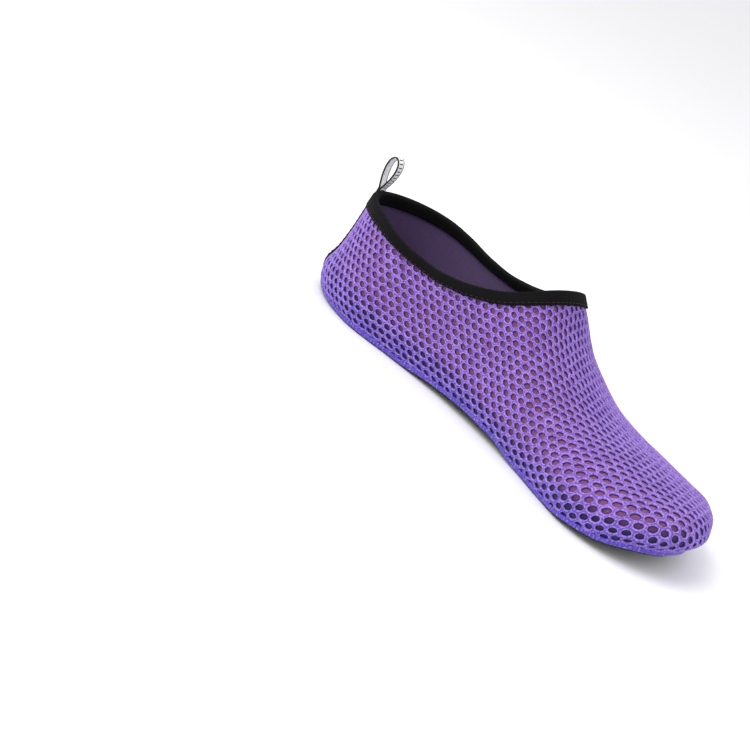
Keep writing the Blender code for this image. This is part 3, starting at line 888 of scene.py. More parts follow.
def on_heel(y, z):
    """Points of the heel's back at side offsets and heights, in last coordinates, and the outward
    normals there."""
    sources = np.stack([np.full(y.shape, SPINE_FIRST * LENGTH), y, z], axis=-1).reshape(-1, 3)
    points = cast(sources, np.broadcast_to((-1.0, 0.0, 0.0), sources.shape))
    slopes = [level(points + step) - level(points - step) for step in 1e-3 * CLEARANCE * np.eye(3)]
    return points.reshape(*y.shape, 3), unit(np.stack(slopes, axis=-1)).reshape(*y.shape, 3)


def lengths_along(path):
    """Distance gone at each point of a path."""
    return np.concatenate([[0], np.cumsum(np.linalg.norm(np.diff(path, axis=0), axis=1))])


def run_of_stitches(path, out, settings):
    """Points and faces of a row of stitches: short threads along a path.

    Each is a tube of half circles of radius r (1 - u^4)^(1/2) at u from -1 to 1 along it, whose
    middle stands r / 2 over the path, and whose ends sink into the cloth by r u^2.
    """
    gone = lengths_along(path)
    count = int(gone[-1] / settings.stitch_pitch)
    u = np.linspace(-1, 1, STITCH_RINGS) * STITCH_ENDS
    at = (np.arange(count)[:, None] + 0.5) / count * gone[-1] + u * settings.stitch_length / 2
    middle = np.stack([np.interp(at, gone, path[:, k]) for k in range(3)], axis=-1)
    normal = unit(np.stack([np.interp(at, gone, out[:, k]) for k in range(3)], axis=-1))
    side = unit(np.cross(np.gradient(middle, axis=1), normal))
    radius = settings.thread_thickness / 2
    middle = middle + normal * (radius * (0.5 - u ** 2))[None, :, None]
    angle = np.linspace(0, 2 * np.pi, STITCH_SIDES, endpoint=False)
    swell = (radius * np.sqrt(1 - u ** 4))[None, :, None, None]
    points = (middle[:, :, None] + swell * (normal[:, :, None] * np.cos(angle)[:, None]
                                            + side[:, :, None] * np.sin(angle)[:, None]))
    block = STITCH_RINGS * STITCH_SIDES
    starts = (np.arange(count) * block)[:, None, None]
    sides = (starts + grid_faces(STITCH_RINGS, STITCH_SIDES, wrap_columns=True)[None]).reshape(-1, 4)
    ends = np.stack([np.arange(STITCH_SIDES), block - STITCH_SIDES + np.arange(STITCH_SIDES)[::-1]])
    return points.reshape(-1, 3), [sides, (starts + ends[None]).reshape(-1, STITCH_SIDES)]


# Materials

def add(tree, kind, settings=None, inputs=None, out=0):
    """Add a node, set its attributes, and set or link its inputs by name or place. Gives back one
    of its outputs, or the node itself where none is asked for."""
    made = tree.nodes.new(kind)
    for key, value in (settings or {}).items():
        setattr(made, key, value)
    for key, value in (inputs or {}).items():
        if isinstance(value, bpy.types.NodeSocket):
            tree.links.new(value, made.inputs[key])
        else:
            made.inputs[key].default_value = value
    return made if out is None else made.outputs[out]


def new_material(name, settings):
    """Principled material, its tree and its shader; settings go straight onto the sockets."""
    made = bpy.data.materials.new(name)
    made.use_nodes = True
    shader = made.node_tree.nodes["Principled BSDF"]
    for key, value in settings.items():
        shader.inputs[key].default_value = value
    return made, made.node_tree, shader


def finish_material(tree, shader, links, height, depth):
    """Link sockets to the shader's inputs by name, and a height in units of the depth as bump."""
    links = {**links, "Normal": add(tree, "ShaderNodeBump", None, {"Height": height, "Distance": depth})}
    for key, socket in links.items():
        tree.links.new(socket, shader.inputs[key])


def rgba(colour):
    """Colour with full opacity."""
    return (*colour, 1.0)


def make_mesh_fabric(settings):
    """Polyester air mesh, knitted: half dull filament strands, with painted highlights on the
    filaments by the holes' rims and painted shade between the filaments and down the holes' walls.
    They are blue violet near the sole and redder up the side.

    "strand" holds the direction round the hole and the place across the strand, "place" the height
    above the sole in mm, the cell's chance value and the depth in mm.
    """
    made, tree, shader = new_material("knitted_air_mesh", {
        "Roughness": 0.5, "Specular IOR Level": 0.35, "Sheen Weight": 0.12, "Sheen Roughness": 0.35,
        "Sheen Tint": rgba(linear("#d9c4ff"))})
    strand = add(tree, ATTRIBUTE, {"attribute_name": "strand"}, out=1)
    around_x, around_y, across = add(tree, SPLIT, None, {0: strand}, out=None).outputs
    place = add(tree, ATTRIBUTE, {"attribute_name": "place"}, out=1)
    height, chance, depth = add(tree, SPLIT, None, {0: place}, out=None).outputs
    spot = add(tree, PLACE, out=3)
    cloud = add(tree, NOISE, None, {"Vector": spot, "Scale": FABRIC_CLOUDS, "Detail": 3.0})
    fuzz = add(tree, NOISE, None, {"Vector": spot, "Scale": FABRIC_FUZZ, "Detail": 2.0})
    wobble = add(tree, MATH, TIMES_PLUS, {0: cloud, 1: FABRIC_WANDER, 2: height})
    low = add(tree, RANGE, EASED, {"Value": wobble, "From Min": FABRIC_ZONE[0], "From Max": FABRIC_ZONE[1]})
    base = add(tree, MIX, COLOURS, {0: low, 6: rgba(settings.low_colour), 7: rgba(settings.high_colour)}, 2)
    angle = add(tree, MATH, {"operation": "ARCTAN2"}, {0: around_y, 1: around_x})
    ribs = add(tree, MATH, TIMES, {0: angle, 1: YARN_RIBS})
    lean = add(tree, MATH, TIMES_PLUS, {0: across, 1: YARN_LEAN, 2: ribs})
    twist = add(tree, MATH, TIMES_PLUS, {0: add(tree, MATH, SINE, {0: lean}), 1: 0.5, 2: 0.5})
    filaments = add(tree, RANGE, EASED, {"Value": across, "From Min": FILAMENT_FROM[0],
                                         "From Max": FILAMENT_FROM[1]})
    flat = add(tree, MATH, TIMES, {0: filaments, 1: 0.65})
    knit = add(tree, MATH, TIMES_PLUS, {0: twist, 1: 0.35, 2: flat})
    grains = add(tree, NOISE, None, {"Vector": spot, "Scale": FABRIC_GRAINS, "Detail": 2.0})
    half_fuzz = add(tree, MATH, TIMES, {0: fuzz, 1: 0.5})
    speckle = add(tree, MATH, TIMES_PLUS, {0: grains, 1: 1.5, 2: half_fuzz})
    tone = add(tree, MATH, TIMES_PLUS, {0: knit, 1: 0.5, 2: speckle})
    tone = add(tree, MATH, TIMES_PLUS, {0: chance, 1: 0.12, 2: tone})
    # Painted highlight: high tones, on the filaments by the holes' rims, turn the strand toward its highlight
    # colour
    light = add(tree, RANGE, EASED, {"Value": tone, "From Min": LIGHT_TONES[0], "From Max": LIGHT_TONES[1]})
    body = add(tree, MIX, COLOURS, {0: light, 6: base, 7: rgba(settings.strand_highlight_colour)}, 2)
    # Painted shade: low tones, between the filaments, turn the strand toward the holes' shade colour
    painted_shade = add(tree, RANGE, EASED, {"Value": tone, "From Min": SHADE_TONES[0], "From Max": SHADE_TONES[1],
                                    "To Min": LEAST_BODY})
    body = add(tree, MIX, COLOURS, {0: painted_shade, 6: rgba(settings.hole_shade_colour), 7: body}, 2)
    # Painted shade down the holes' walls: the deeper, the nearer the holes' shade colour
    hole = add(tree, RANGE, EASED, {"Value": depth, "From Min": HOLE_DEPTHS[0], "From Max": HOLE_DEPTHS[1]})
    colour = add(tree, MIX, COLOURS, {0: hole, 6: body, 7: rgba(settings.hole_shade_colour)}, 2)
    relief = add(tree, MATH, TIMES_PLUS, {0: fuzz, 1: 0.6, 2: knit})
    finish_material(tree, shader, {"Base Color": colour}, relief, FABRIC_RELIEF)
    return made


def make_lining_fabric(settings):
    """Fine warp-knit lining, matt: dusky plum behind the holes, a painted navy shadow just above the
    sole and blue in the band along it.

    "place" holds the height above the sole in mm, the distance round in mm and 1 on the side that
    faces the foot.
    """
    made, tree, shader = new_material("knitted_lining", {
        "Roughness": 0.85, "Sheen Weight": 0.2, "Sheen Roughness": 0.5})
    place = add(tree, ATTRIBUTE, {"attribute_name": "place"}, out=1)
    height, around, inside = add(tree, SPLIT, None, {0: place}, out=None).outputs
    spot = add(tree, PLACE, out=3)
    cloud = add(tree, NOISE, None, {"Vector": spot, "Scale": LINING_CLOUDS, "Detail": 2.0})
    fuzz = add(tree, NOISE, None, {"Vector": spot, "Scale": LINING_FUZZ, "Detail": 3.0})
    wobble = add(tree, MATH, TIMES_PLUS, {0: cloud, 1: LINING_WANDER, 2: height})
    band = add(tree, RANGE, EASED, {"Value": wobble, "From Min": BAND_ZONE[0], "From Max": BAND_ZONE[1]})
    # Painted shadow: above the blue band the lining turns to shadow_colour, a painted navy shadow
    colour = add(tree, MIX, COLOURS, {0: band, 6: rgba(settings.band_colour),
                                      7: rgba(settings.shadow_colour)}, 2)
    upper = add(tree, RANGE, EASED, {"Value": wobble, "From Min": UPPER_ZONE[0], "From Max": UPPER_ZONE[1]})
    colour = add(tree, MIX, COLOURS, {0: upper, 6: colour, 7: rgba(settings.lining_colour)}, 2)
    colour = add(tree, MIX, COLOURS, {0: inside, 6: colour, 7: rgba(settings.inside_colour)}, 2)
    courses = add(tree, MATH, SINE, {0: add(tree, MATH, TIMES, {0: height, 1: 2 * np.pi / LINING_COURSE})})
    wales = add(tree, MATH, SINE, {0: add(tree, MATH, TIMES, {0: around, 1: 2 * np.pi / LINING_WALE})})
    knit = add(tree, MATH, TIMES_PLUS, {0: add(tree, MATH, TIMES, {0: courses, 1: wales}), 1: 0.5, 2: 0.5})
    lit = add(tree, MATH, TIMES_PLUS, {0: knit, 1: 0.8, 2: 0.3})
    value = add(tree, MATH, TIMES_PLUS, {0: fuzz, 1: 0.8, 2: lit})
    grey = add(tree, "ShaderNodeCombineColor", None, {0: value, 1: value, 2: value})
    colour = add(tree, MIX, COLOURS_TIMES, {0: 1.0, 6: colour, 7: grey}, 2)
    finish_material(tree, shader, {"Base Color": colour}, knit, LINING_RELIEF)
    return made


def make_tape_material(settings):
    """Woven nylon tape, black and dull, with a painted highlight on the fine ribs across it.
    "along" holds the distances along and across the tape in mm."""
    made, tree, shader = new_material("woven_tape", {
        "Roughness": 0.8, "Specular IOR Level": 0.08})
    spread = add(tree, ATTRIBUTE, {"attribute_name": "along"}, out=1)
    along, across, _ = add(tree, SPLIT, None, {0: spread}, out=None).outputs
    ribs = add(tree, MATH, SINE, {0: add(tree, MATH, TIMES, {0: along, 1: 2 * np.pi / TAPE_RIB})})
    threads = add(tree, MATH, SINE, {0: add(tree, MATH, TIMES, {0: across, 1: 2 * np.pi / TAPE_THREAD})})
    ribbed = add(tree, MATH, TIMES_PLUS, {0: ribs, 1: 0.2, 2: 0.5})
    crossings = add(tree, MATH, TIMES, {0: ribs, 1: threads})
    weave = add(tree, MATH, TIMES_PLUS, {0: crossings, 1: 0.3, 2: ribbed})
    fuzz = add(tree, NOISE, None, {"Vector": add(tree, PLACE, out=3), "Scale": TAPE_FUZZ, "Detail": 3.0})
    # Painted highlight on the raised ribs and threads
    light = add(tree, MATH, TIMES, {0: weave, 1: fuzz})
    colour = add(tree, MIX, COLOURS, {0: light, 6: rgba(settings.tape_colour),
                                      7: rgba(settings.tape_highlight_colour)}, 2)
    relief = add(tree, MATH, TIMES_PLUS, {0: fuzz, 1: 0.6, 2: weave})
    finish_material(tree, shader, {"Base Color": colour}, relief, TAPE_RELIEF)
    return made


def make_thread_material(settings):
    """Bonded polyester sewing thread: charcoal, twisted and glossier than the tape it holds."""
    made, tree, shader = new_material("sewing_thread", {"Roughness": 0.45, "Specular IOR Level": 0.3})
    twist = add(tree, "ShaderNodeTexWave", {"bands_direction": "DIAGONAL"},
                {"Vector": add(tree, PLACE, out=3), "Scale": THREAD_TWIST, "Distortion": 1.0}, 1)
    # Painted highlight: the lit side of each twist is mixed from the tape's black toward thread_colour
    colour = add(tree, MIX, COLOURS, {0: twist, 6: rgba(settings.tape_colour),
                                      7: rgba(settings.thread_colour)}, 2)
    finish_material(tree, shader, {"Base Color": colour}, twist, THREAD_RELIEF)
    return made


def make_ribbon_material(settings):
    """Satin polyester ribbon: white with black selvedges and short black bars woven across one
    face, and the back of those threads showing as grey specks on the other.

    "along" holds the distance along the ribbon and across it from its middle, in mm, and 1 on the
    face with the bars.
    """
    made, tree, shader = new_material("satin_ribbon", {
        "Roughness": 0.4, "Specular IOR Level": 0.4})
    spread = add(tree, ATTRIBUTE, {"attribute_name": "along"}, out=1)
    along, across, face = add(tree, SPLIT, None, {0: spread}, out=None).outputs
    off = add(tree, MATH, {"operation": "ABSOLUTE"}, {0: across})
    selvedge = add(tree, RANGE, EASED, {"Value": off, "From Min": SELVEDGE_FROM - RIBBON_BLUR,
                                        "From Max": SELVEDGE_FROM + RIBBON_BLUR})
    within = add(tree, MATH, {"operation": "PINGPONG"}, {0: along, 1: BAR_PITCH / 2})
    bar = add(tree, RANGE, EASED, {"Value": within, "From Min": (BAR_PITCH - BAR_WIDTH) / 2 - RIBBON_BLUR,
                                   "From Max": (BAR_PITCH - BAR_WIDTH) / 2 + RIBBON_BLUR})
    reach = add(tree, RANGE, EASED, {"Value": off, "From Min": BAR_REACH - RIBBON_BLUR,
                                     "From Max": BAR_REACH + RIBBON_BLUR, "To Min": 1.0, "To Max": 0.0})
    bars = add(tree, MATH, TIMES, {0: add(tree, MATH, TIMES, {0: bar, 1: reach}), 1: face})
    speck = add(tree, NOISE, None, {"Vector": add(tree, PLACE, out=3), "Scale": RIBBON_SPECKS, "Detail": 2.0})
    specks = add(tree, RANGE, EASED, {"Value": speck, "From Min": 0.42, "From Max": 0.62})
    grey = add(tree, MATH, TIMES, {0: specks, 1: add(tree, MATH, TIMES_PLUS, {0: face, 1: -0.1, 2: 0.16})})
    dark = add(tree, MATH, {"operation": "MAXIMUM"}, {0: selvedge, 1: bars})
    dark = add(tree, MATH, {"operation": "MAXIMUM"}, {0: dark, 1: grey})
    colour = add(tree, MIX, COLOURS, {0: dark, 6: rgba(settings.ribbon_colour),
                                      7: rgba(settings.ribbon_dark_colour)}, 2)
    weft = add(tree, MATH, SINE, {0: add(tree, MATH, TIMES, {0: along, 1: 2 * np.pi / RIBBON_WEFT})})
    finish_material(tree, shader, {"Base Color": colour}, weft, RIBBON_RELIEF)
    return made


def make_rubber_material(settings):
    """Moulded thermoplastic rubber: black, half dull, a little paler where it has rubbed, with a
    fine moulded grain."""
    made, tree, shader = new_material("moulded_rubber", {"Specular IOR Level": 0.22})
    spot = add(tree, PLACE, out=3)
    grain = add(tree, "ShaderNodeTexVoronoi", None, {"Vector": spot, "Scale": 1000 / RUBBER_GRAIN})
    dust = add(tree, NOISE, None, {"Vector": spot, "Scale": RUBBER_DUST, "Detail": 5.0})
    colour = add(tree, MIX, COLOURS, {0: dust, 6: rgba(settings.rubber_colour),
                                      7: rgba(settings.rubber_dust_colour)}, 2)
    rough = add(tree, MATH, TIMES_PLUS, {0: dust, 1: 0.25, 2: 0.42})
    finish_material(tree, shader, {"Base Color": colour, "Roughness": rough}, grain, RUBBER_RELIEF)
    return made


def make_footbed_material(settings):
    """Foam footbed under a fine black knit cover: matt, with small knitted cells."""
    made, tree, shader = new_material("knit_covered_foam", {"Roughness": 0.95, "Sheen Weight": 0.3})
    spot = add(tree, PLACE, out=3)
    cells = add(tree, "ShaderNodeTexVoronoi", None, {"Vector": spot, "Scale": 1000 / FOOTBED_CELL})
    fuzz = add(tree, NOISE, None, {"Vector": spot, "Scale": FOOTBED_FUZZ, "Detail": 3.0})
    light = add(tree, MATH, TIMES, {0: cells, 1: fuzz})
    colour = add(tree, MIX, COLOURS, {0: light, 6: rgba(settings.footbed_colour),
                                      7: rgba(settings.footbed_light_colour)}, 2)
    relief = add(tree, MATH, TIMES_PLUS, {0: fuzz, 1: 0.4, 2: cells})
    finish_material(tree, shader, {"Base Color": colour}, relief, FOOTBED_RELIEF)
    return made


def make_paper_material(settings):
    """White studio paper: matt, with a faint grain."""
    made, tree, shader = new_material("white_paper", {"Roughness": 0.9,
                                                      "Base Color": rgba(settings.floor_colour)})
    grain = add(tree, NOISE, None, {"Vector": add(tree, PLACE, out=3), "Scale": PAPER_GRAIN})
    finish_material(tree, shader, {}, grain, PAPER_RELIEF)
    return made


# Mesh fabric

def hexagon(count, pitch, spacing):
    """Points round one cell of the mesh: a regular hexagon stretched to the pitch along a row
    and the spacing of the rows."""
    angle = np.linspace(0, 2 * np.pi, count, endpoint=False)
    sector = (angle + np.pi / 6) % (np.pi / 3) - np.pi / 6
    radius = 0.5 / np.cos(sector)
    return angle, np.stack([radius * np.cos(angle) * pitch,
                            radius * np.sin(angle) * spacing / np.sin(np.pi / 3)], axis=1)


def fabric_cells(settings):
    """All cells of the mesh on the flat layout: a lattice with each second row shifted by half."""
    low, high = LAYOUT.reshape(-1, 2).min(0), LAYOUT.reshape(-1, 2).max(0)
    rows = np.arange(np.ceil((high[1] - low[1]) / settings.row_spacing) + 2)
    across = np.arange(np.ceil((high[0] - low[0]) / settings.hole_pitch) + 2)
    i, j = np.meshgrid(rows, across, indexing="ij")
    centres = np.stack([low[0] + (j - 0.5 + 0.5 * (i % 2)) * settings.hole_pitch,
                        low[1] + i * settings.row_spacing], axis=-1).reshape(-1, 2)
    _, _, short = locate(centres)
    return centres[short < CELL_REACH]


def fabric_geometry(settings, centres):
    """Cells of the mesh drawn on the last.

    Every cell is rings of points that run from its hexagon to the rim and wall of its hole, an
    ellipse. A point lies below the surface by its place across the strand, as STRAND says.
    """
    chance = np.random.default_rng(FABRIC_SEED)
    count = len(centres)
    angle, outline = hexagon(CELL_POINTS, settings.hole_pitch, settings.row_spacing)
    row, column, _ = locate(centres)
    girth = np.interp(column, np.arange(COLUMNS), RISE[-1])
    from_collar = (1 - row / (ROWS - 1)) * girth / MM
    heel = np.minimum(column, COLUMNS - 1 - column) / (COLUMNS - 1)
    past_seam = np.clip(heel - HEEL_SEAM_SHARE, 0, 1)
    stretch = fade(from_collar, COLLAR_HOLE_FROM) * fade(past_seam, HEEL_HOLE_SHARE)
    size = 1 + SIZE_SPREAD * chance.standard_normal((count, 1))
    half = np.stack([settings.hole_length / 2 * (1 - HEEL_HOLE_SHORTER * stretch),
                     settings.hole_width / 2 * (1 + HEEL_HOLE_WIDER * stretch)], axis=1) * size
    tilt = np.radians(settings.hole_tilt) + TILT_SPREAD * chance.standard_normal(count)
    shift = SHIFT_SPREAD * MM * chance.standard_normal((count, 2))
    rim = np.stack([np.cos(angle) * half[:, :1], np.sin(angle) * half[:, 1:]], axis=-1)
    rim *= (1 + RIM_CORNERS * np.cos(6 * angle))[None, :, None]
    cos, sin = np.cos(tilt)[:, None], np.sin(tilt)[:, None]
    rim = np.stack([rim[..., 0] * cos - rim[..., 1] * sin, rim[..., 0] * sin + rim[..., 1] * cos], axis=-1)
    rim += shift[:, None]
    rings = len(STRAND_SHAPE["place"])
    place = STRAND_SHAPE["place"][None, :, None, None]
    local = outline[None, None] * place + rim[:, None] * (1 - place)
    spots = centres[:, None, None] + local
    index = np.arange(count * rings * CELL_POINTS).reshape(count, rings, CELL_POINTS)
    key = np.round(spots[:, 0].reshape(-1, 2) / SAME_PLACE).astype(np.int64)
    _, first, same = np.unique(key, axis=0, return_index=True, return_inverse=True)
    shared = index[:, 0].reshape(-1)[first][same.ravel()].reshape(count, CELL_POINTS)
    index[:, 0] = shared
    row, column, _ = locate(spots)
    height = read(RISE, row, column) / MM
    lift = chance.standard_normal(count)[:, None, None] * DEPTH_SPREAD
    depth = np.broadcast_to(STRAND_SHAPE["depth"][None, :, None], height.shape).copy()
    depth = np.where(STRAND_SHAPE["place"][None, :, None] < 1, np.maximum(depth + lift, 0), depth)
    pressed = fade(height, SEAM_REACH)
    depth = depth * settings.mesh_depth * (1 - pressed) + pressed * PRESSED_DEPTH * settings.mesh_depth
    points = skin(row, column, depth)
    after = np.roll(np.arange(CELL_POINTS), -1)
    a, b = index[:, :-1], index[:, 1:]
    faces = np.stack([a, a[:, :, after], b[:, :, after], b], axis=-1).reshape(-1, 4)
    ring = np.broadcast_to(np.arange(rings)[None, :, None], height.shape)
    angles = np.broadcast_to(angle[None, None], height.shape)
    cell = np.broadcast_to(chance.random(count)[:, None, None], height.shape)
    strand = np.stack([np.cos(angles), np.sin(angles), STRAND_SHAPE["place"][ring]], axis=-1)
    marks = np.stack([height, cell, depth / MM], axis=-1)
    corner_of = np.arange(count * rings * CELL_POINTS).reshape(count, rings, CELL_POINTS)
    a, b = corner_of[:, :-1], corner_of[:, 1:]
    corners = np.stack([a, a[:, :, after], b[:, :, after], b], axis=-1).reshape(-1, 4)
    return points.reshape(-1, 3), faces, corners, strand.reshape(-1, 3), marks.reshape(-1, 3)


def build_fabric(name, settings, centres, finish):
    """One panel of the mesh, without the slivers that are pressed flat on the panel's edges."""
    points, faces, corners, strand, marks = fabric_geometry(settings, centres)
    corner = points[faces]
    area = np.linalg.norm(np.cross(corner[:, 2] - corner[:, 0], corner[:, 3] - corner[:, 1]), axis=1)
    keep = area > SLIVER_AREA
    faces, corners = faces[keep], corners[keep]
    used, packed = np.unique(faces, return_inverse=True)
    piece = add_piece(name, points[used], [packed.reshape(-1, 4)], finish)
    if len(piece.data.loops) != corners.size:
        raise RuntimeError(f"{name} lost faces")
    set_attribute(piece, "strand", strand[corners.ravel()], "CORNER")
    set_attribute(piece, "place", marks[corners.ravel()], "CORNER")
    return piece


# Trims and soles

def tape_profile():
    """Cross section of the folded tape: depth below the collar and offset out from the wall.

    A flat U with a rounded fold and soft edges, pressed in a little along its stitches.
    """
    near, back = CLEARANCE, -UPPER_WALL - CLEARANCE
    far, rear = near + BINDING_THICKNESS, back - BINDING_THICKNESS
    soft = BINDING_THICKNESS * BINDING_SOFT
    dip = BINDING_THICKNESS * BINDING_DIP
    seam = BINDING_WIDTH - BINDING_STITCH_RISE
    outside = [(BINDING_WIDTH, near), (BINDING_WIDTH, far - 2 * soft), (BINDING_WIDTH - soft, far - soft / 3),
               (BINDING_WIDTH - 2 * soft, far), (seam, far - dip), (seam - 3 * soft, far),
               (BINDING_WIDTH / 2, far), (BINDING_WIDTH / 4, far)]
    turn_over = np.radians(np.linspace(0, 180, FOLD_STEPS))
    fold = [(-far * np.sin(t), (far + rear) / 2 + (far - rear) / 2 * np.cos(t)) for t in turn_over]
    inside = [(BINDING_WIDTH / 2, rear), (seam, rear + dip), (BINDING_WIDTH - soft, rear + soft / 3),
              (BINDING_WIDTH, back), (BINDING_WIDTH / 2, back), (-CLEARANCE, back), (-CLEARANCE, near)]
    return np.array(outside + fold + inside)


def binding_geometry():
    """Tape folded over the collar's edge all the way round: (points, faces) and its attribute."""
    profile = tape_profile()
    column = np.linspace(0, COLUMNS - 1, BINDING_STEPS + 1)[:-1]
    depth, at = np.meshgrid(profile[:, 0], column, indexing="ij")
    out = np.broadcast_to(profile[:, 1:], depth.shape)
    points = on_wall(depth, at, out)
    edge_line = lengths_along(np.concatenate([points[0], points[0, :1]]))[:-1]
    across = lengths_along(np.column_stack([profile, np.zeros(len(profile))]))
    spread = np.stack([np.broadcast_to(edge_line / MM, depth.shape),
                       np.broadcast_to(across[:, None] / MM, depth.shape), np.zeros(depth.shape)], axis=-1)
    faces = grid_faces(*depth.shape, wrap_rows=True, wrap_columns=True)
    return points.reshape(-1, 3), [faces], spread.reshape(-1, 3)


def heel_tape_geometry():
    """Tape over the back seam: a grid of outside points and one of inside points, joined at the
    edges, where the tape thins."""
    rows, columns = TAPE_STEPS
    top = on_wall(np.full(1, BINDING_WIDTH + 2 * CLEARANCE), np.zeros(1), np.zeros(1))[0, 2]
    z, y = np.meshgrid(np.linspace(TAPE_FOOT, top, rows), np.linspace(-1, 1, columns) * TAPE_WIDTH / 2,
                       indexing="ij")
    points, out = on_heel(y, z)
    points = points - (HEEL_REST, 0, 0)
    rim = np.minimum(TAPE_WIDTH / 2 - np.abs(y), np.minimum(z - TAPE_FOOT, top - z)) / TAPE_THICKNESS
    thick = TAPE_THICKNESS * (1 - TAPE_EDGE_THINNING * fade(rim, 1.0))
    outside = points + out * (CLEARANCE + thick)[..., None]
    inside = points + out * CLEARANCE
    size = rows * columns
    index = np.arange(size).reshape(rows, columns)
    edge_loop = np.concatenate([index[0, :-1], index[:-1, -1], index[-1, :0:-1], index[:0:-1, 0]])
    after = np.roll(edge_loop, -1)
    faces = [grid_faces(rows, columns), grid_faces(rows, columns)[:, ::-1] + size,
             np.stack([edge_loop, after, after + size, edge_loop + size], axis=1)]
    spread = np.stack([z / MM, y / MM, 0 * z], axis=-1).reshape(-1, 3)
    points = np.concatenate([outside.reshape(-1, 3), inside.reshape(-1, 3)])
    return points, faces, np.concatenate([spread, spread])


def heel_stitch_line(side):
    """Line of the heel tape's stitches on one side, and the outward normals along it."""
    top = on_wall(np.full(1, BINDING_WIDTH), np.zeros(1), np.zeros(1))[0, 2]
    z = np.linspace(TAPE_FOOT + TAPE_STITCH_INSET, top - TAPE_STITCH_INSET, TAPE_STEPS[0])
    points, out = on_heel(np.full(z.shape, side * (TAPE_WIDTH / 2 - TAPE_STITCH_INSET)), z)
    return points - (HEEL_REST, 0, 0) + out * (CLEARANCE + TAPE_THICKNESS), out


def loop_path():
    """Middle of the ribbon in the plane y = 0, with its tails lying on the binding and the tape.

    The open part is a teardrop: its height follows 1 - cos(t), its width sin(t) * sin(t / 2).
    """
    layer = RIBBON_THICKNESS + CLEARANCE
    near = CLEARANCE + BINDING_THICKNESS + CLEARANCE + RIBBON_THICKNESS / 2
    tail = np.linspace(LOOP_TAIL, 0, LOOP_TAIL_STEPS)
    at = np.zeros(LOOP_TAIL_STEPS)
    front, behind = on_wall(tail, at, at + near), on_wall(tail, at, at + near + layer)
    lean = np.radians(LOOP_LEAN)
    up = np.array([np.sin(lean), 0, np.cos(lean)])
    forward = np.array([np.cos(lean), 0, -np.sin(lean)])
    base = (front[-1] + behind[-1]) / 2 + up * (BINDING_THICKNESS + 2 * CLEARANCE)
    angle = np.linspace(0, 2 * np.pi, LOOP_STEPS + 1)
    across = (LOOP_WIDTH / 2 / TEARDROP_PEAK * np.sin(angle) * np.sin(angle / 2)
              + layer / 2 * np.cos(angle / 2))
    rise = LOOP_HEIGHT * (1 - np.cos(angle)) / 2
    drop = base + across[:, None] * forward + rise[:, None] * up
    path = np.vstack([front, drop, behind[::-1]])
    path[:, 1] = 0
    return path


def loop_geometry():
    """Ribbon along its path: a flat cross section with round selvedges, closed at both ends."""
    path = loop_path()
    gone = lengths_along(path)
    even = np.linspace(0, gone[-1], len(path))
    path = np.stack([np.interp(even, gone, path[:, k]) for k in range(3)], axis=1)
    ahead = unit(np.gradient(path, axis=0))
    side = np.stack([ahead[:, 2], 0 * even, -ahead[:, 0]], axis=1)
    half, thick = RIBBON_WIDTH / 2, RIBBON_THICKNESS / 2
    flat = np.linspace(-1, 1, RIBBON_COLUMNS) * (half - thick)
    round_off = np.radians([-45, 0, 45])
    y = np.concatenate([flat, half - thick + thick * np.cos(round_off), flat[::-1],
                        -(half - thick + thick * np.cos(round_off[::-1]))])
    out = np.concatenate([0 * flat - thick, thick * np.sin(round_off), 0 * flat + thick,
                          thick * np.sin(round_off[::-1])])
    points = path[:, None] + side[:, None] * out[None, :, None] + np.array([0, 1.0, 0]) * y[None, :, None]
    rows, columns = points.shape[:2]
    face = np.broadcast_to((out > 0).astype(float), (rows, columns))
    spread = np.stack([np.broadcast_to(even[:, None] / MM, face.shape),
                       np.broadcast_to(y / MM, face.shape), face], axis=-1)
    ends = np.stack([np.arange(columns), (rows - 1) * columns + np.arange(columns)[::-1]])
    return points.reshape(-1, 3), [grid_faces(rows, columns, wrap_columns=True), ends], spread.reshape(-1, 3)


def sole_stations(count):
    """Even stations of the sole, thinned out round four for each flex groove, and how deep each
    station is cut, from 0 to 1."""
    back, tip = foot_ends()
    length = tip - back
    middle = (np.array(GROOVES) * LENGTH - back) / length
    half, draft = GROOVE_WIDTH / 2 / length, GROOVE_DRAFT / length
    places = (middle[:, None] + [-half - draft, -half, half, half + draft]).ravel()
    depths = np.tile([0.0, 1.0, 1.0, 0.0], len(GROOVES))
    even = half_circle(count)
    within = (np.abs(even[:, None] - middle) < half).any(axis=1)
    clear = np.abs(even[:, None] - places).min(axis=1) > draft
    stations = np.concatenate([even[clear], places])
    cut = np.concatenate([within[clear].astype(float), depths])
    order = np.argsort(stations)
    return stations[order], cut[order]


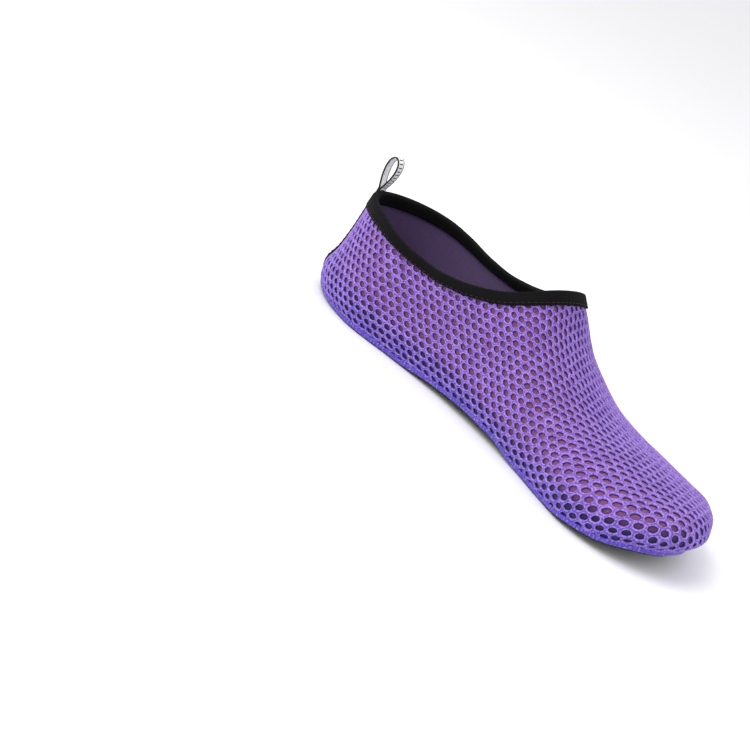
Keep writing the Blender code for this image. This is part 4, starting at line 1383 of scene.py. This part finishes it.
def plate(stations, profile, base, cut, crown):
    """Closed plate with the last's outline.

    Each profile row is (growth of the outline, height over the base line, lift of the grooves),
    from the underside's rim round to the top's. Flat grids close it underneath and on top, the
    top raised by the crown times 1 - w^2 at a share w of the half width.
    """
    back, tip = foot_ends()
    loops = []
    for grow, height, lift in profile:
        sides = loop_line(back, tip, foot_height, stations, grow)
        for side in sides:
            side[:, 2] = base(side[:, 0]) + height + cut * lift
        loops.append(closed_loop(sides))
    loops = np.array(loops) - (HEEL_REST, 0, 0)
    count, width = loops.shape[:2]
    faces = [grid_faces(count, width, wrap_columns=True)]
    points = [loops.reshape(-1, 3)]
    i = np.arange(width // 2 + 1)
    outer, inner = i, (width - i) % width
    share = np.linspace(0, 1, PLATE_COLUMNS + 1)
    total = count * width
    for ring, way, lift in ((0, -1, 0.0), (count - 1, 1, crown)):
        a, b = loops[ring][outer], loops[ring][inner]
        across = a[:, None] * (1 - share[:, None]) + b[:, None] * share[:, None]
        across[..., 2] += lift * (1 - (2 * share - 1) ** 2)
        index = np.empty((len(i), PLATE_COLUMNS + 1), int)
        index[:, 1:-1] = total + np.arange(len(i) * (PLATE_COLUMNS - 1)).reshape(len(i), -1)
        index[:, 0], index[:, -1] = ring * width + outer, ring * width + inner
        index[0], index[-1] = ring * width + outer[0], ring * width + outer[-1]
        points.append(across[:, 1:-1].reshape(-1, 3))
        total += len(i) * (PLATE_COLUMNS - 1)
        quads = np.stack([index[:-1, :-1], index[:-1, 1:], index[1:, 1:], index[1:, :-1]], axis=-1)
        body = quads[1:-1].reshape(-1, 4)
        tips = np.concatenate([quads[0][:, [0, 2, 3]], quads[-1][:, [0, 1, 2]]])
        faces += [body[:, ::way], tips[:, ::way]]
    points = np.concatenate(points)
    used = np.unique(np.concatenate([f.ravel() for f in faces]))
    packed = np.zeros(len(points), int)
    packed[used] = np.arange(len(used))
    return points[used], [packed[f] for f in faces]


def hem_geometry():
    """Pressed edge of the fabric that hugs the sole's side: a closed band round the foot line.

    HEM gives its cross section. Gives back points, faces and each point's mark for the strand.
    """
    back, tip = foot_ends()
    loops = np.array([closed_loop(loop_line(back, tip, foot_height, half_circle(HEM_STATIONS), grow * MM))
                      - (HEEL_REST, 0, -height * MM) for grow, height in HEM])
    gone = lengths_along(np.concatenate([loops[0], loops[0, :1]]))[:-1] / MM
    turns = np.broadcast_to(gone * HEM_TURNS, loops.shape[:2])
    strand = np.stack([np.cos(turns), np.sin(turns), 0 * turns + HEM_PLACE], axis=-1)
    faces = [grid_faces(*loops.shape[:2], wrap_rows=True, wrap_columns=True)]
    return loops.reshape(-1, 3), faces, strand


# Settings

def colour_value(name, description, code):
    """Colour property whose default is an sRGB hex value."""
    return FloatVectorProperty(name=name, description=description, size=3, subtype="COLOR",
                               default=linear(code))


def length_value(name, description, millimetres):
    """Length property whose default is in millimetres."""
    return FloatProperty(name=name, description=description, default=millimetres * MM, unit="LENGTH")


class ShoeFabric(bpy.types.PropertyGroup):
    hole_pitch: length_value("Hole pitch", "Distance between holes along a row", 4.85)
    row_spacing: length_value("Row spacing", "Distance between rows of holes", 3.8)
    hole_length: length_value("Hole length", "Size of a hole along its row", 3.65)
    hole_width: length_value("Hole width", "Size of a hole across its row", 2.9)
    hole_tilt: FloatProperty(name="Hole tilt", description="Turn of the holes against their row, in degrees",
                             default=-8.0)
    mesh_depth: length_value("Mesh depth", "Thickness of the mesh over its lining", 1.25)
    low_colour: colour_value("Low colour", "Strands near the sole", "#4e3db0")
    high_colour: colour_value("High colour", "Strands near the collar", "#6d48a6")
    # Painted highlight on the strands' raised filaments
    strand_highlight_colour: colour_value("Light colour", "Raised filaments of the strands", "#a585da")
    # Painted shade on the holes' walls
    hole_shade_colour: colour_value("Hole colour", "Walls of the holes", "#382168")
    band_colour: colour_value("Band colour", "Lining along the sole", "#2a1c88")
    # Painted navy shadow on the lining just above the band
    shadow_colour: colour_value("Shadow colour", "Lining just above the band", "#1b0d49")
    lining_colour: colour_value("Lining colour", "Lining behind the holes", "#6f3d6d")
    inside_colour: colour_value("Inside colour", "Lining on the foot's side", "#4a3560")


class ShoeTrim(bpy.types.PropertyGroup):
    stitch_pitch: length_value("Stitch pitch", "Distance between stitches", 2.9)
    stitch_length: length_value("Stitch length", "Length of a stitch", 1.9)
    thread_thickness: length_value("Thread thickness", "Thickness of the sewing thread", 0.36)
    tape_colour: colour_value("Tape colour", "Binding and heel tape", "#060506")
    # Painted highlight on the tape's raised threads
    tape_highlight_colour: colour_value("Tape light colour", "Raised threads", "#1c191c")
    # Painted highlight on the thread's lit side
    thread_colour: colour_value("Thread colour", "Lit side of the thread", "#262226")
    ribbon_colour: colour_value("Ribbon colour", "Pull loop", "#f2f2f5")
    ribbon_dark_colour: colour_value("Ribbon dark colour", "Selvedges and bars", "#0a0a0c")


class ShoeSole(bpy.types.PropertyGroup):
    stations: IntProperty(name="Stations", description="Cross sections along the sole", default=260)
    rubber_colour: colour_value("Rubber colour", "Outsole", "#161417")
    rubber_dust_colour: colour_value("Rubber dust colour", "Paler, dusty rubber", "#29262b")
    footbed_colour: colour_value("Footbed colour", "Knit cover of the footbed", "#1b181d")
    footbed_light_colour: colour_value("Footbed light colour", "Raised loops of it", "#3d3842")


class ShoeStage(bpy.types.PropertyGroup):
    floor_colour: colour_value("Floor colour", "Paper floor", "#f4f4f6")
    key_power: FloatProperty(name="Key light", description="Power of the large light", default=9.0,
                             unit="POWER")
    fill_power: FloatProperty(name="Fill light", description="Power of the side light", default=3.0,
                              unit="POWER")
    sky: FloatProperty(name="Surround", description="Brightness of the white surround", default=0.9)


# Pieces and stage

class WATERSHOE_OT_mesh_fabric(bpy.types.Operator):
    """Knit the mesh over the last in three panels: outer side, toe and inner side"""
    bl_idname = "watershoe.mesh_fabric"
    bl_label = "Mesh fabric"

    def execute(self, context):
        settings = context.scene.shoe_fabric
        finish = make_mesh_fabric(settings)
        centres = fabric_cells(settings)
        _, column, _ = locate(centres)
        share = column / (COLUMNS - 1)
        toe = (share >= TOE_PANEL[0]) & (share <= TOE_PANEL[1])
        for name, here in (("mesh_outer_side", share < TOE_PANEL[0]), ("mesh_toe", toe),
                           ("mesh_inner_side", share > TOE_PANEL[1])):
            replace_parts(build_fabric(name, settings, centres[here], finish), "upper")
        points, faces, strand = hem_geometry()
        hem = add_piece("mesh_hem", points, outward(points, faces), finish)
        set_attribute(hem, "strand", strand)
        set_attribute(hem, "place", np.tile([0.0, HEM_CHANCE, 0.0], (len(points), 1)))
        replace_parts(hem, "upper")
        return {"FINISHED"}


class WATERSHOE_OT_lining(bpy.types.Operator):
    """Close the wall behind the mesh with a thin knitted lining"""
    bl_idname = "watershoe.lining"
    bl_label = "Lining"

    def execute(self, context):
        settings = context.scene.shoe_fabric
        rows, columns = LINING_STEPS
        row, column = np.meshgrid(np.linspace(0, ROWS - 1, rows),
                                  np.linspace(0, COLUMNS - 1, columns + 1)[:-1], indexing="ij")
        wall = []
        for depth in (settings.mesh_depth * LINING_DEPTH, UPPER_WALL):
            points = skin(row, column, np.full(row.shape, depth))
            flat = unit(read(NORMALS, row[0], column[0]) * (1, 1, 0))
            points[0] = skin(row[0], column[0], 0 * row[0]) - flat * depth
            wall.append(points)
        points = np.concatenate([wall[0], wall[1][::-1]])
        faces = [grid_faces(*points.shape[:2], wrap_rows=True, wrap_columns=True)]
        points = points.reshape(-1, 3)
        piece = add_piece("lining", points, outward(points, faces), make_lining_fabric(settings))
        height = read(RISE, row, column) / MM
        around = column / COLUMNS * GIRTH
        spread = np.stack([np.concatenate([height, height[::-1]]), np.concatenate([around, around]),
                           np.repeat([0.0, 1.0], rows)[:, None] * np.ones(columns)], axis=-1)
        set_attribute(piece, "place", spread)
        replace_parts(piece, "upper")
        return {"FINISHED"}


class WATERSHOE_OT_binding(bpy.types.Operator):
    """Fold black woven tape over the collar's edge and stitch it down"""
    bl_idname = "watershoe.binding"
    bl_label = "Collar binding"

    def execute(self, context):
        settings = context.scene.shoe_trim
        tape = add_trim("binding_tape", binding_geometry(), make_tape_material(settings))
        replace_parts(tape, "collar_binding")
        column = np.linspace(0, COLUMNS - 1, 2 * BINDING_STEPS + 1)
        out = np.full(column.shape, CLEARANCE + BINDING_THICKNESS * BINDING_STITCH_SEAT)
        path = on_wall(np.full(column.shape, BINDING_WIDTH - BINDING_STITCH_RISE), column, out)
        row = below_collar(np.full(column.shape, BINDING_WIDTH), column)
        add_stitches("binding_stitches", [(path, unit(read(NORMALS, row, column)))], settings,
                     make_thread_material(settings))
        return {"FINISHED"}


class WATERSHOE_OT_heel_tape(bpy.types.Operator):
    """Cover the back seam with black woven tape, stitched along both edges"""
    bl_idname = "watershoe.heel_tape"
    bl_label = "Heel tape"

    def execute(self, context):
        settings = context.scene.shoe_trim
        tape = add_trim("heel_seam_tape", heel_tape_geometry(), make_tape_material(settings))
        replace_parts(tape, "heel_tape")
        add_stitches("heel_stitches", [heel_stitch_line(side) for side in (-1, 1)], settings,
                     make_thread_material(settings))
        return {"FINISHED"}


class WATERSHOE_OT_pull_loop(bpy.types.Operator):
    """Stand the satin ribbon loop on the collar at the heel"""
    bl_idname = "watershoe.pull_loop"
    bl_label = "Pull loop"

    def execute(self, context):
        finish = make_ribbon_material(context.scene.shoe_trim)
        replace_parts(add_trim("ribbon_loop", loop_geometry(), finish), "pull_loop")
        return {"FINISHED"}


class WATERSHOE_OT_outsole(bpy.types.Operator):
    """Mould the thin rubber sole with its flex grooves"""
    bl_idname = "watershoe.outsole"
    bl_label = "Outsole"

    def execute(self, context):
        settings = context.scene.shoe_sole
        stations, cut = sole_stations(settings.stations)
        side, bevel, nick = -SOLE_INSET, SOLE_EDGE_ROUND, SOLE_EDGE_ROUND * SOLE_UPPER_ROUND
        turn_up = np.radians(np.linspace(0, 90, EDGE_STEPS))
        under = [(side - bevel * (1 - np.sin(t)), bevel * (1 - np.cos(t))) for t in turn_up]
        over = [(side - nick * (1 - np.cos(t)), SOLE_THICKNESS - nick * (1 - np.sin(t))) for t in turn_up]
        profile = [(grow, height, max(GROOVE_DEPTH - height, 0)) for grow, height in under]
        profile += [(grow, height, 0.0) for grow, height in over]
        points, faces = plate(stations, profile, lambda x: sole_top(x) - SOLE_THICKNESS, cut, 0.0)
        piece = add_piece("rubber_sole", points, outward(points, faces), make_rubber_material(settings))
        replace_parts(piece, "outsole")
        return {"FINISHED"}


class WATERSHOE_OT_footbed(bpy.types.Operator):
    """Lay the thin foam footbed inside"""
    bl_idname = "watershoe.footbed"
    bl_label = "Footbed"

    def execute(self, context):
        settings = context.scene.shoe_sole
        side, soft = -UPPER_WALL - INSOLE_GAP, INSOLE_EDGE_ROUND
        turn_up = np.radians(np.linspace(0, 90, EDGE_STEPS))
        under = [(side - soft * (1 - np.sin(t)), soft * (1 - np.cos(t)), 0.0) for t in turn_up]
        over = [(side - soft * (1 - np.cos(t)), INSOLE_THICKNESS - soft * (1 - np.sin(t)), 0.0)
                for t in turn_up]
        points, faces = plate(half_circle(settings.stations), under + over, foot_height, 0.0, INSOLE_CROWN)
        piece = add_piece("footbed", points, outward(points, faces), make_footbed_material(settings))
        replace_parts(piece, "insole")
        return {"FINISHED"}


class WATERSHOE_OT_stage(bpy.types.Operator):
    """White paper floor, soft studio light and the photograph's camera"""
    bl_idname = "watershoe.stage"
    bl_label = "Stage"

    def execute(self, context):
        settings = context.scene.shoe_stage
        scene = context.scene
        a, e, r = np.radians([CAMERA_AZIMUTH, CAMERA_ELEVATION, CAMERA_ROLL])
        back = np.array([np.sin(a) * np.cos(e), -np.cos(a) * np.cos(e), np.sin(e)])
        level_right = np.array([np.cos(a), np.sin(a), 0.0])
        level_up = np.cross(back, level_right)
        right = level_right * np.cos(r) + level_up * np.sin(r)
        up = level_up * np.cos(r) - level_right * np.sin(r)
        target = np.array(CAMERA_TARGET) - (HEEL_REST, 0, 0)
        eye = target - CAMERA_ACROSS * right - CAMERA_UP * up + CAMERA_DISTANCE * back
        lens = bpy.data.cameras.new("camera")
        lens.lens = CAMERA_FOCAL_PIXELS * SENSOR / PICTURE_PIXELS
        lens.sensor_width = SENSOR
        lens.clip_start, lens.clip_end = 0.01, 50.0
        camera = bpy.data.objects.new("camera", lens)
        camera.matrix_world = Matrix([(*[v[k] for v in (right, up, back)], eye[k]) for k in range(3)]
                                     + [(0, 0, 0, 1)])
        scene.collection.objects.link(camera)
        scene.camera = camera

        span = np.linspace(-FLOOR_REACH, FLOOR_REACH, FLOOR_POINTS)
        x, y = np.meshgrid(span, span, indexing="ij")
        floor = bpy.data.meshes.new("floor")
        floor.from_pydata(np.stack([x, y, x * 0], -1).reshape(-1, 3).tolist(), [],
                          grid_faces(FLOOR_POINTS, FLOOR_POINTS)[:, ::-1].tolist())
        floor.materials.append(make_paper_material(settings))
        ground = bpy.data.objects.new("floor", floor)
        scene.collection.objects.link(ground)

        def add_light(name, place, size, power, colour):
            """Square area light aimed at the shoe, placed along the picture's own axes."""
            spot = target + place[0] * up + place[1] * back + place[2] * right
            lamp = bpy.data.lights.new(name, "AREA")
            lamp.size, lamp.energy, lamp.color = size, power, colour
            thing = bpy.data.objects.new(name, lamp)
            aim = Vector(spot) - Vector(target)
            thing.location = spot
            thing.rotation_mode = "QUATERNION"
            thing.rotation_quaternion = aim.to_track_quat("Z", "Y")
            scene.collection.objects.link(thing)

        add_light("key", KEY_PLACE, KEY_SIZE, settings.key_power, KEY_COLOUR)
        add_light("fill", FILL_PLACE, FILL_SIZE, settings.fill_power, FILL_COLOUR)

        world = bpy.data.worlds.new("surround")
        world.use_nodes = True
        shell = world.node_tree.nodes["Background"]
        shell.inputs["Color"].default_value = (1.0, 1.0, 1.0, 1.0)
        shell.inputs["Strength"].default_value = settings.sky
        scene.world = world
        scene.view_settings.view_transform = "Standard"
        return {"FINISHED"}


class WATERSHOE_PT_pieces(bpy.types.Panel):
    bl_idname = "WATERSHOE_PT_pieces"
    bl_label = "Water shoe"
    bl_space_type = "VIEW_3D"
    bl_region_type = "UI"
    bl_category = "Water shoe"

    def draw(self, context):
        for operator in OPERATORS:
            self.layout.operator(operator.bl_idname)
        for group in GROUPS:
            box = self.layout.box()
            held = getattr(context.scene, group)
            for key in held.bl_rna.properties.keys():
                if key not in ("name", "rna_type"):
                    box.prop(held, key)


GROUPS = {"shoe_fabric": ShoeFabric, "shoe_trim": ShoeTrim, "shoe_sole": ShoeSole, "shoe_stage": ShoeStage}
OPERATORS = (WATERSHOE_OT_mesh_fabric, WATERSHOE_OT_lining, WATERSHOE_OT_binding, WATERSHOE_OT_heel_tape,
             WATERSHOE_OT_pull_loop, WATERSHOE_OT_outsole, WATERSHOE_OT_footbed, WATERSHOE_OT_stage)


def register():
    for group in GROUPS.values():
        bpy.utils.register_class(group)
    for key, group in GROUPS.items():
        setattr(bpy.types.Scene, key, PointerProperty(type=group))
    for kind in (*OPERATORS, WATERSHOE_PT_pieces):
        bpy.utils.register_class(kind)


def unregister():
    for kind in (WATERSHOE_PT_pieces, *reversed(OPERATORS)):
        bpy.utils.unregister_class(kind)
    for key in GROUPS:
        delattr(bpy.types.Scene, key)
    for group in reversed(GROUPS.values()):
        bpy.utils.unregister_class(group)


def main():
    """Build every piece round the frame and set up the stage."""
    register()
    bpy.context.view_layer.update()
    bpy.ops.watershoe.mesh_fabric()
    bpy.ops.watershoe.lining()
    bpy.ops.watershoe.binding()
    bpy.ops.watershoe.heel_tape()
    bpy.ops.watershoe.pull_loop()
    bpy.ops.watershoe.outsole()
    bpy.ops.watershoe.footbed()
    bpy.ops.watershoe.stage()
    bpy.context.view_layer.update()


if __name__ == "__main__":
    main()
